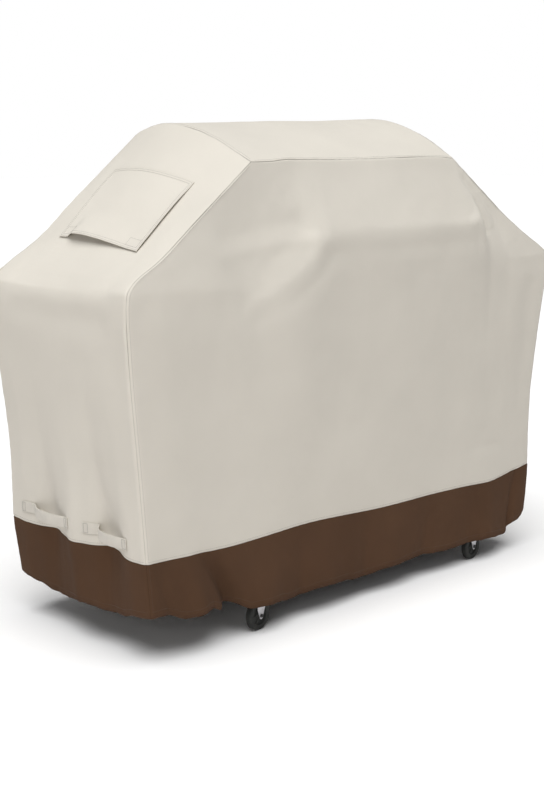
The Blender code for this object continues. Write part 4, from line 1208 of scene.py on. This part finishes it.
def make_seam_stitches():
    """Rows of stitches beside the cover's seams and along its hem."""
    light, dark = [], []
    for wall in ("front", "back"):
        for start in (True, False):
            light.append(dashes(*column_line(wall, start, STITCH_GAP, (NQ + 6, NR - 7))))
            dark.append(dashes(*column_line(wall, start, STITCH_GAP, (5, NQ - 6))))
    for wall in ("front", "right", "back", "left"):
        light.append(dashes(*row_line(wall, NQ, STITCH_GAP)))
        dark.append(dashes(*row_line(wall, 0, HEM_STITCH_GAP)))
    for edge in ("front", "back", "left", "right"):
        light.append(dashes(*top_line(edge, STITCH_GAP)))
    stitch_piece("seam_stitches", light, shade_darkened_cream_thread)
    stitch_piece("skirt_stitches", dark, brown_thread)


make_seam_stitches()


# ---- vents ----

FLAP_COUNT = (72, 60)
FLAP_WIDTH, FLAP_LENGTH, FLAP_HEM, FLAP_STITCH = 0.303, 0.25, 0.0095, 0.0035
FASTENER_W = (0.268, 0.310)                                        # upward shares of both fasteners
FASTENER_V = {"front": (0.196, 0.262), "back": (0.732, 0.787)}    # and their shares along the slope
FLAP_BOW_SHAPE = curve((0.0, 0.0), (0.10, 0.02), (0.30, 0.34), (0.50, 0.76), (0.66, 1.0), (0.77, 0.94),
                       (0.84, 0.50), (0.885, 0.06), (0.93, 0.0), (1.0, 0.0))
SIDES = {"left": -1, "right": 1}


def end_wall(side):
    """Points and normals of an end wall, its columns running from front to back."""
    columns = wall_columns(side)
    order = slice(None, None, -1 if side == "left" else 1)
    return RING[columns][order], RING_NORMAL[columns][order]


def on_slope(side, v, w, proud=0.0):
    """Points and normals of the slope at shares (along, up), moved out."""
    grid, normal = end_wall(side)
    a = np.interp(v, ALONG, np.arange(NY))
    b = np.interp(SLOPE_LOW + SLOPE_SPAN * np.asarray(w), ROW_LEVEL[NQ:], np.arange(NR - NQ))
    points, up = sheet_look(grid[:, NQ:], normal[:, NQ:], a, b)
    return points + up * np.asarray(proud)[..., None], up


def flap_place(a, b):
    """Shares on the slope of a flap's point: a from front to back, b from the top edge down."""
    top_w = lerp(0.727, 0.694, a) - 0.003 * np.sin(math.pi * a)
    v = lerp(lerp(0.212, 0.815, a), lerp(0.183, 0.803, a), b)
    w = lerp(top_w, lerp(0.247, 0.251, a), b)
    return v, w


def flap_lift(a, b):
    """How far the flap stands off: sewn top, sides nearly flat, mouth bowed open."""
    edge = np.minimum(np.minimum(a, 1 - a) * FLAP_WIDTH, np.minimum(b, 1 - b) * FLAP_LENGTH)
    rest = 0.0017 + 0.0016 * smooth(b, 0.04, 0.22)
    bow = 0.0165 * FLAP_BOW_SHAPE(a) * smooth(b, 0.55, 1.0) ** 1.4
    pillow = 0.0016 * np.sin(math.pi * np.clip(a, 0, 1)) * np.sin(math.pi * np.clip(b, 0, 1))
    front_edge = 0.0022 * np.exp(-a / 0.05) * smooth(b, 0.1, 0.35) * (1 - smooth(b, 0.88, 1.0))
    hem = 0.0009 * (1 - smooth(edge, FLAP_HEM, FLAP_HEM + 0.0022))
    stitched = -0.0004 * sum(np.exp(-((edge - line) / 0.0010) ** 2) for line in (FLAP_STITCH, FLAP_HEM))
    return rest + bow + pillow + front_edge + hem + stitched


def hem_spread(count, length):
    """Shares with extra lines at the hem's edges."""
    near = np.array([0, 0.0010, 0.0025, 0.0035, 0.0045, 0.0065, 0.0085, 0.0095, 0.0105, 0.0125, 0.0150])
    near = near / length
    middle = np.linspace(near[-1], 1 - near[-1], count - 2 * len(near) + 2)
    return np.concatenate([near, middle[1:-1], (1 - near)[::-1]])


def inner_box(a_span, b_span, steps=60):
    """Closed outline of a box in the flap's shares."""
    corners = [(a_span[0], b_span[0]), (a_span[1], b_span[0]), (a_span[1], b_span[1]), (a_span[0], b_span[1]),
               (a_span[0], b_span[0])]
    a = np.concatenate([np.linspace(p[0], q[0], steps) for p, q in zip(corners, corners[1:])])
    b = np.concatenate([np.linspace(p[1], q[1], steps) for p, q in zip(corners, corners[1:])])
    return a, b


def make_flap(side):
    """The vent's flap: hemmed, double-stitched, with a box stitch over each fastener."""
    shares = hem_spread(FLAP_COUNT[0], FLAP_WIDTH), hem_spread(FLAP_COUNT[1], FLAP_LENGTH)
    grid_a, grid_b = np.meshgrid(*shares, indexing="ij")

    def surface(at_a, at_b):
        v, w = flap_place(at_a, at_b)
        return on_slope(side, v, w, flap_lift(at_a, at_b))[0]

    grid = surface(grid_a, grid_b)
    normal = normals(grid, False)
    _, slope_up = on_slope(side, 0.47, 0.5)
    if normal[30, 30] @ slope_up < 0:
        grid = grid[::-1]
        normal = normals(grid, False)
    piece = cloth_piece(f"vent_flap_{side}_cloth", grid, normal, cream, thickness=0.0013)
    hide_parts(f"vent_flap_{side}")

    lines = []
    outer_a, outer_b = FLAP_STITCH / FLAP_WIDTH, FLAP_STITCH / FLAP_LENGTH
    inner_a, inner_b = FLAP_HEM / FLAP_WIDTH, FLAP_HEM / FLAP_LENGTH
    patch_a, patch_b = 0.040 / FLAP_WIDTH, 0.024 / FLAP_LENGTH
    boxes = [((outer_a, 1 - outer_a), (outer_b, 1 - outer_b)),
             ((inner_a, 1 - inner_a), (inner_b, 1 - inner_b)),
             ((inner_a, inner_a + patch_a), (1 - inner_b - patch_b, 1 - inner_b)),
             ((1 - inner_a - patch_a, 1 - inner_a), (1 - inner_b - patch_b, 1 - inner_b))]
    for a_span, b_span in boxes:
        at_a, at_b = inner_box(a_span, b_span)
        step = 0.002
        d_a = surface(np.clip(at_a + step, 0, 1), at_b) - surface(np.clip(at_a - step, 0, 1), at_b)
        d_b = surface(at_a, np.clip(at_b + step, 0, 1)) - surface(at_a, np.clip(at_b - step, 0, 1))
        up = np.cross(d_a, d_b)
        up *= np.sign(np.sum(up * slope_up, axis=1, keepdims=True))
        up /= np.linalg.norm(up, axis=1, keepdims=True)
        lines.append(dashes(surface(at_a, at_b), up, FINE_PITCH))
    thread = stitch_piece(f"vent_flap_{side}_stitches", lines, shade_darkened_cream_thread, body=None)
    bend_start, bend_end = on_slope(side, 0.47, 0.700)[0], on_slope(side, 0.47, 0.610)[0]
    for item in (piece, thread):
        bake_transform(item)


def strand(points, up, width, height):
    """A thin flat strand along points, as 8-cornered links."""
    ahead = np.gradient(points, axis=0)
    ahead /= np.linalg.norm(ahead, axis=1, keepdims=True)
    side = np.cross(up, ahead)
    ring = [points + side * a * width / 2 + up * b * height / 2
            for a, b in ((-1, -1), (1, -1), (1, 1), (-1, 1))]
    return np.stack(ring, axis=1)


def make_net(side):
    """Open net of crossing strands under the vent's hole."""
    pitch, count = 0.0042, 14
    spans = (HOLE_V[0] - 0.03, HOLE_V[1] + 0.03), (HOLE_W[0] - 0.03, HOLE_W[1] + 0.03)
    all_points, all_faces, offset = [], [], 0
    for direction in (0, 1):
        metres = 0.235 if direction == 0 else 0.175
        lines = np.linspace(*spans[direction], int(metres / pitch))
        for index, line in enumerate(lines):
            run = np.linspace(*spans[1 - direction], count)
            v, w = (line + 0 * run, run) if direction == 0 else (run, line + 0 * run)
            points, up = on_slope(side, v, w, -0.0026 - 0.0006 * direction + 0 * run)
            rings = strand(points, up, 0.0009, 0.0006)
            ids = offset + np.arange(count * 4).reshape(count, 4)
            for k in range(4):
                m = (k + 1) % 4
                all_faces.append(np.stack([ids[:-1, k], ids[:-1, m], ids[1:, m], ids[1:, k]], axis=1))
            all_faces.append(np.array([ids[0, ::-1], ids[-1]]))
            all_points.append(rings.reshape(-1, 3))
            offset += count * 4
    piece = add_mesh(f"vent_net_{side}", np.concatenate(all_points), np.concatenate(all_faces), net,
                     smooth_shading=False, weave=np.zeros((offset, 2)))
    attach(piece, "cover", f"vent_mesh_{side}")


def make_binding(side):
    """Folded tape sewn round the hole, over the cut edge."""
    width = 0.013
    v_scale, w_scale = width / 0.515, width / 0.50
    lines = []
    for index, (v_span, w_span) in enumerate((
            ((HOLE_V[0] - v_scale, HOLE_V[0] + 0.004), (HOLE_W[0] - w_scale, HOLE_W[1] + w_scale)),
            ((HOLE_V[1] - 0.004, HOLE_V[1] + v_scale), (HOLE_W[0] - w_scale, HOLE_W[1] + w_scale)),
            ((HOLE_V[0], HOLE_V[1]), (HOLE_W[0] - w_scale, HOLE_W[0] + 0.004)),
            ((HOLE_V[0], HOLE_V[1]), (HOLE_W[1] - 0.004, HOLE_W[1] + w_scale)))):
        v = np.linspace(*v_span, 6 if index < 2 else 40)
        w = np.linspace(*w_span, 40 if index < 2 else 6)
        grid_v, grid_w = np.meshgrid(v, w, indexing="ij")
        proud = 0.0009 + (0.0004 if index < 2 else 0.0) + 0 * grid_v
        points, _ = on_slope(side, grid_v, grid_w, proud)
        grid = points[::-1] if side == "left" else points
        normal = normals(grid, False)
        piece = cloth_piece(f"vent_binding_{side}_{index}", grid, normal, cream, thickness=0.0012)
        attach(piece, "cover")
        if index < 2:
            at_v, at_w = np.full(200, lerp(*v_span, 0.5)), np.linspace(*w_span, 200)
        else:
            at_v, at_w = np.linspace(*v_span, 200), np.full(200, lerp(*w_span, 0.5))
        lines.append(dashes(*on_slope(side, at_v, at_w, 0.0014 + 0 * at_v), FINE_PITCH))
    stitch_piece(f"vent_binding_{side}_stitches", lines, shade_darkened_cream_thread)


def make_patches(side):
    """Hook-and-loop squares at the flap's lower corners, with rounded edges."""
    for end, v_span in FASTENER_V.items():
        grid_v, grid_w = np.meshgrid(np.linspace(*v_span, 16), np.linspace(*FASTENER_W, 16), indexing="ij")
        s = np.minimum(np.linspace(0, 1, 16), np.linspace(1, 0, 16))
        edge = np.minimum(s[:, None], s[None, :])
        proud = 0.0006 + 0.0016 * smooth(edge, 0.0, 0.12)
        points, _ = on_slope(side, grid_v, grid_w, proud)
        grid = points[::-1] if side == "left" else points
        piece = cloth_piece(f"vent_fastener_{side}_{end}", grid, normals(grid, False), fastener,
                            thickness=0.0006)
        attach(piece, "cover", f"vent_patch_{side}_{end}")


for place in SIDES:
    make_flap(place)
    make_net(place)
    make_binding(place)
    make_patches(place)


# ---- webbing handles ----

HANDLE_WIDTH, HANDLE_THICKNESS = 0.0275, 0.0021
HANDLE_LINES = {
    "back": (0.216, 0.004, curve((0.0, 0.2910), (0.2, 0.2940), (0.45, 0.2925), (0.8, 0.2925), (1.0, 0.2935))),
    "front": (-0.046, -0.217, curve((0.0, 0.2935), (0.22, 0.2945), (0.45, 0.2910), (0.8, 0.2895),
                                    (1.0, 0.2890))),
}
BOX_SPAN = (0.004, 0.016)     # where a handle's box stitch starts and ends, from the strap's end
HANDLE_FREE = (0.20, 0.96)    # shares of the strap between which it may leave the cloth
HANDLE_PROUD = curve((0.0, 0.0028), (0.22, 0.0032), (0.34, 0.0110), (0.46, 0.0170), (0.62, 0.0170),
                     (0.80, 0.0105), (0.93, 0.0034), (1.0, 0.0028))


def end_face(side, y, z):
    """Point and normal of the flat lower part of an end wall."""
    grid, normal = end_wall(side)
    b = np.interp(z, ROW_LEVEL, np.arange(NR))
    row = np.clip(np.round(b).astype(int), 0, NR - 1)
    a = np.array([np.interp(yy, grid[:, r, 1], np.arange(NY)) for yy, r in zip(np.ravel(y), np.ravel(row))])
    return sheet_look(grid, normal, a.reshape(np.shape(y)), b)


def handle_surface(side, end, share, level):
    """A strap held flat at both ends and bowed out between; level runs across its width."""
    start, stop, height = HANDLE_LINES[end]
    y = lerp(start, stop, share)
    z = height(share) + level * HANDLE_WIDTH / 2
    sign = SIDES[side]
    base, _ = end_face(side, y, z)
    first, last = [end_face(side, 0 * share + lerp(start, stop, at), z)[0] for at in HANDLE_FREE]
    walk = np.clip((share - HANDLE_FREE[0]) / (HANDLE_FREE[1] - HANDLE_FREE[0]), 0, 1)
    chord = lerp(first[..., 0], last[..., 0], walk)
    free = smooth(share, HANDLE_FREE[0], 0.38) * (1 - smooth(share, 0.88, 0.97))
    outer = lerp(base[..., 0], chord, free)
    outer = np.where(sign < 0, np.minimum(outer, base[..., 0]), np.maximum(outer, base[..., 0]))
    crown = 0.0005 * (1 - np.asarray(level) ** 2)
    x = outer + sign * (HANDLE_PROUD(share) + crown)
    return np.stack([x, y, z], axis=-1)


def make_handle(side, end):
    """One webbing handle with a box of stitches at each end."""
    share = np.unique(np.concatenate([np.linspace(0, 1, 70), [0.012, 0.02, 0.985, 0.978]]))
    level = np.array([-1.0, -0.93, -0.8, -0.5, 0.0, 0.5, 0.8, 0.93, 1.0])
    grid_s, grid_l = np.meshgrid(share, level, indexing="ij")
    grid = handle_surface(side, end, grid_s, grid_l)
    if side == "right":
        grid = grid[::-1]
    piece = cloth_piece(f"handle_{side}_{end}_webbing", grid, normals(grid, False), webbing,
                        thickness=HANDLE_THICKNESS)
    attach(piece, "cover", f"handle_{side}_{end}")
    length = abs(HANDLE_LINES[end][0] - HANDLE_LINES[end][1])
    lines = []

    def sew(at, across):
        line = handle_surface(side, end, at, across)
        lines.append(dashes(line, np.tile([SIDES[side], 0.0, 0.0], (len(line), 1)), BOX_PITCH))

    across = np.linspace(-0.86, 0.86, 60)
    for spot in BOX_SPAN:
        for at in (spot / length, 1 - spot / length):
            sew(at + 0 * across, across)
    for edge in (-0.80, 0.80):
        for span in (BOX_SPAN, (length - BOX_SPAN[1], length - BOX_SPAN[0])):
            at = np.linspace(*span, 30) / length
            sew(at, edge + 0 * at)
    stitch_piece(f"handle_{side}_{end}_stitches", lines, shade_darkened_cream_thread)


for place in SIDES:
    for end in ("front", "back"):
        make_handle(place, end)


def declare_panels():
    """Gathers, for each end panel, what is sewn to it; the lists are not used."""
    for node, piece in PANELS.items():
        sewn = []
        if node.endswith("end_panel"):
            side = node.split("_")[0]
            sewn = [f"vent_binding_{side}_{index}" for index in range(4)] + [f"vent_binding_{side}_stitches"]
            for end in ("front", "back"):
                sewn += [f"vent_fastener_{side}_{end}", f"handle_{side}_{end}_webbing"]


declare_panels()


# ---- casters ----

JOINTS = {joint["name"]: joint for joint in frame["record"]["behaviour"]["joints"]}
WHEEL_RADIUS, WHEEL_HALF = 0.038, 0.009


def lathe(profile, sides, place):
    """Points and faces of a closed outline of (radius, along) turned round a frame's local Y axis."""
    ring = []
    for index in range(sides):
        angle = 2 * math.pi * index / sides
        for radius, along in profile:
            ring.append(place @ Vector((radius * math.cos(angle), along, radius * math.sin(angle))))
    count = len(profile)
    faces = []
    for index in range(sides):
        follow = (index + 1) % sides
        for k in range(count):
            m = (k + 1) % count
            faces.append((index * count + k, index * count + m, follow * count + m, follow * count + k))
    return [tuple(p) for p in ring], faces


def arc(centre, radius, start, end, steps):
    """Points of an arc in the (radius, along) plane, angles in degrees."""
    angles = [math.radians(lerp(start, end, k / steps)) for k in range(steps + 1)]
    return [(centre[0] + radius * math.cos(angle), centre[1] + radius * math.sin(angle)) for angle in angles]


def add_shape(name, shapes, material, angle=35.0):
    """One mesh from several (points, faces) shapes, edges sharp over the angle."""
    points, faces = [], []
    for own_points, own_faces in shapes:
        offset = len(points)
        points += own_points
        faces += [tuple(offset + k for k in face) for face in own_faces]
    piece = add_mesh(name, points, faces, material)
    fix_normals(piece)
    piece.data.set_sharp_from_angle(angle=math.radians(angle))
    return piece


def fix_normals(piece):
    """Turn all faces outwards."""
    shape = bmesh.new()
    shape.from_mesh(piece.data)
    bmesh.ops.recalc_face_normals(shape, faces=shape.faces)
    shape.to_mesh(piece.data)
    shape.free()


def axle_frame(place):
    """Frame with its origin in the middle of the wheel and its Y axis along the axle."""
    joint = JOINTS[f"wheel_{place}_spin"]
    axis = Vector(joint["axis"]).normalized()
    turn = Matrix((Vector((axis.y, -axis.x, 0.0)), axis, Vector((0, 0, 1)))).transposed().to_4x4()
    return Matrix.Translation(Vector(joint["pos_m"])) @ turn


def tyre_profile():
    """Outline of the tyre: rounded tread with a flat crown, side walls down to the rim."""
    half, radius, bead = WHEEL_HALF, WHEEL_RADIUS, 0.0275
    edge = 0.0048
    top = arc((radius - edge, half - edge), edge, 0, 90, 7)
    low = arc((radius - edge, -(half - edge)), edge, -90, 0, 7)
    groove = [(bead + 0.0030, half), (bead + 0.0022, half - 0.0008), (bead, half - 0.0008)]
    return low + top + groove + [(r, -a) for r, a in reversed(groove)]


def hub_profile():
    """Outline of the hub: rim, dished web and boss, bored for the axle."""
    rim, web, boss, bore = 0.0276, 0.0245, 0.0105, 0.0046
    face = WHEEL_HALF - 0.0006
    side = [(bore, face + 0.0004), (boss - 0.0008, face + 0.0004), (boss, face - 0.0006),
            (boss + 0.0010, 0.0042), (web - 0.0016, 0.0036), (web, face - 0.0010), (web + 0.0008, face),
            (rim, face)]
    return side + [(r, -a) for r, a in reversed(side)]


def rib(angle, place):
    """One radial rib on both faces of the hub's web."""
    shapes = []
    for sign in (-1, 1):
        low, high = 0.0030 * sign, 0.0062 * sign
        corners = []
        for along in (low, high):
            for radius, spread in ((0.0100, 0.0014), (0.0246, 0.0010)):
                for k in (-1, 1):
                    local = Matrix.Rotation(angle, 3, "Y") @ Vector((radius, along, k * spread))
                    corners.append(tuple(place @ local))
        faces = [(0, 1, 3, 2), (4, 6, 7, 5), (0, 4, 5, 1), (2, 3, 7, 6), (0, 2, 6, 4), (1, 5, 7, 3)]
        shapes.append((corners, faces))
    return shapes


def plate_outline(trail):
    """Side view of a fork cheek: a V that widens from the axle to the shoulders, then in to the neck."""
    tip = [(trail + 0.0052 * math.cos(math.radians(a)), -0.0042 + 0.0052 * math.sin(math.radians(a)))
           for a in range(-170, -9, 16)]
    return tip + [(trail + 0.0072, 0.0), (trail + 0.0136, 0.0175), (0.0040, 0.0262), (0.0126, 0.0413),
                  (0.0140, 0.0478), (0.0140, 0.0495), (-0.0150, 0.0495), (-0.0150, 0.0455), (-0.0160, 0.0425),
                  (-0.0205, 0.0370), (-0.0260, 0.0262), (trail - 0.0134, 0.0175), (trail - 0.0072, 0.0)]


def prism(outline, near, far, place, bevel=0.0005):
    """An outline in (x, z) thickened along Y, with a chamfer on both faces."""
    points, faces = [], []
    middle = np.mean(outline, axis=0)
    inwards = middle - np.array(outline)
    reach = np.maximum(np.hypot(inwards[:, 0], inwards[:, 1]), 0.008)
    shrunk = [tuple(p) for p in np.array(outline) + inwards * bevel / reach[:, None]]
    layers = [(shrunk, near), (outline, near + bevel), (outline, far - bevel), (shrunk, far)]
    count = len(outline)
    for line, depth in layers:
        points += [tuple(place @ Vector((x, depth, z))) for x, z in line]
    for layer in range(3):
        for k in range(count):
            m = (k + 1) % count
            faces.append((layer * count + k, layer * count + m,
                          (layer + 1) * count + m, (layer + 1) * count + k))
    faces.append(tuple(range(count))[::-1])
    faces.append(tuple(range(3 * count, 4 * count)))
    return points, faces


def make_caster(place):
    """Tyre, hub, fork with its crown and washers, and the bolt with its two hexagons."""
    axle = axle_frame(place)
    swivel = Vector(JOINTS[f"swivel_{place}_turn"]["pos_m"])
    wheel_body, fork_body = f"wheel_{place}", f"swivel_{place}"
    tyre = add_shape(f"caster_tyre_{place}", [lathe(tyre_profile(), 72, axle)], rubber)
    hub_shapes = [lathe(hub_profile(), 60, axle)]
    for k in range(6):
        hub_shapes += rib(math.radians(60 * k), axle)
    hub = add_shape(f"caster_hub_{place}", hub_shapes, hub_plastic)
    attach(tyre, wheel_body, f"caster_wheel_{place}")
    attach(hub, wheel_body)

    trail_vector = axle.to_3x3() @ Vector((1, 0, 0))
    trail = (axle.translation - swivel).dot(trail_vector)
    base = Matrix.Translation(Vector((swivel.x, swivel.y, axle.translation.z))) @ axle.to_3x3().to_4x4()
    outline = plate_outline(trail)
    inner, outer = WHEEL_HALF + 0.0011, WHEEL_HALF + 0.0032
    upright = Matrix.Translation(swivel) @ Matrix.Rotation(math.pi / 2, 4, "X")
    crown = [(0.0045, -0.0006), (0.0045, 0.0052), (0.0150, 0.0052), (0.0166, 0.0042), (0.0170, 0.0024),
             (0.0166, 0.0006), (0.0150, -0.0004)]
    fork_shapes = [prism(outline, inner, outer, base), prism(outline, -outer, -inner, base),
                   lathe(crown, 48, upright)]
    bolt = []
    for sign in (-1, 1):
        start, end = sign * outer, sign * (outer + 0.0026)
        near, far = min(start, end), max(start, end)
        radius = 0.0050 if sign < 0 else 0.0053
        angles = [math.radians(60 * k + 15) for k in range(6)]
        hexagon = [(radius * math.cos(angle), radius * math.sin(angle)) for angle in angles]
        bolt.append(prism(hexagon, near, far, axle, bevel=0.0006))
        washer = [(0.0042, sign * (outer - 0.0001)), (0.0064, sign * (outer - 0.0001)),
                  (0.0064, sign * (outer + 0.0006)), (0.0042, sign * (outer + 0.0006))]
        fork_shapes.append(lathe(washer, 32, axle))
    fork = add_shape(f"caster_fork_{place}_steel", fork_shapes, zinc)
    attach(fork, fork_body, f"caster_fork_{place}")
    shank = [(0.0001, -outer - 0.0020), (0.0041, -outer - 0.0020), (0.0041, outer + 0.0034),
             (0.0036, outer + 0.0040), (0.0001, outer + 0.0040)]
    bolt.append(lathe(shank, 24, axle))
    bolt_piece = add_shape(f"caster_bolt_{place}", bolt, bolt_steel)
    attach(bolt_piece, fork_body, f"caster_axle_{place}")


for place in ("front_left", "front_right", "back_left", "back_right"):
    make_caster(place)


# ---- the grill inside keeps its own shapes ----

def dress(node, material):
    """Give a node of the model the looks of its material."""
    item = frame["nodes"][node]
    for slot in item.material_slots:
        slot.material = material


for corner in ("front_left", "front_right", "back_left", "back_right"):
    dress(f"leg_{corner}", painted)
    dress(f"caster_plate_{corner}", zinc)
for node in ("bottom_shelf", "deck_frame", "side_shelf_left", "side_shelf_right", "firebox"):
    dress(node, painted)
dress("lid", enamel)
for node in ("lid_handle_bar", "lid_handle_post_left", "lid_handle_post_right"):
    dress(node, brushed)


# ---- stage and light ----

def make_floor():
    """A wide pale floor, which the camera sees nearly white."""
    shader = Shader("floor_look", (0.72, 0.705, 0.695), 0.9)
    seen = shader.node("ShaderNodeLightPath").outputs["Is Camera Ray"]
    shader.set("Base Color", shader.mix(seen, shader.colour, (0.97, 0.97, 0.97)))
    data = bpy.data.meshes.new("floor")
    half = 30.0
    corners = [(-half, -half, 0), (half, -half, 0), (half, half, 0), (-half, half, 0)]
    data.from_pydata(corners, [], [(0, 1, 2, 3)])
    data.materials.append(shader.material)
    floor = bpy.data.objects.new("floor", data)
    bpy.context.scene.collection.objects.link(floor)


def area_light(name, place, target, size, power, colour):
    """A rectangular lamp that faces its target."""
    data = bpy.data.lights.new(name, "AREA")
    data.shape = "RECTANGLE"
    data.size, data.size_y = size
    data.energy = power
    data.color = colour
    lamp = bpy.data.objects.new(name, data)
    lamp.location = place
    direction = Vector(target) - Vector(place)
    lamp.rotation_euler = direction.to_track_quat("-Z", "Y").to_euler()
    bpy.context.scene.collection.objects.link(lamp)


WORLD_STRENGTH, SUN_STRENGTH, KEY_POWER = 0.20, 3.14, 17.0
SUN_FROM = (-0.20, -0.18, 0.963)


def make_light():
    """A dim even studio that the camera sees white, a broad overhead light and a lamp from the left."""
    world = bpy.data.worlds.new("studio")
    world.use_nodes = True
    tree = world.node_tree
    seen, lit = tree.nodes["Background"], tree.nodes.new("ShaderNodeBackground")
    path, mix = tree.nodes.new("ShaderNodeLightPath"), tree.nodes.new("ShaderNodeMixShader")
    seen.inputs[0].default_value = lit.inputs[0].default_value = (1.0, 1.0, 1.0, 1.0)
    seen.inputs[1].default_value = 1.0
    lit.inputs[1].default_value = WORLD_STRENGTH
    tree.links.new(path.outputs["Is Camera Ray"], mix.inputs[0])
    tree.links.new(lit.outputs[0], mix.inputs[1])
    tree.links.new(seen.outputs[0], mix.inputs[2])
    tree.links.new(mix.outputs[0], tree.nodes["World Output"].inputs[0])
    bpy.context.scene.world = world
    sun = bpy.data.lights.new("overhead", "SUN")
    sun.energy, sun.angle = SUN_STRENGTH, math.radians(60.0)
    lamp = bpy.data.objects.new("overhead", sun)
    lamp.rotation_euler = Vector(SUN_FROM).to_track_quat("Z", "Y").to_euler()
    bpy.context.scene.collection.objects.link(lamp)
    area_light("key", (-3.0, -2.0, 0.95), (-0.5, 0.0, 0.6), (1.4, 1.4), KEY_POWER, (1.0, 0.975, 0.965))


make_floor()
make_light()
bpy.context.scene.view_settings.view_transform = "Standard"
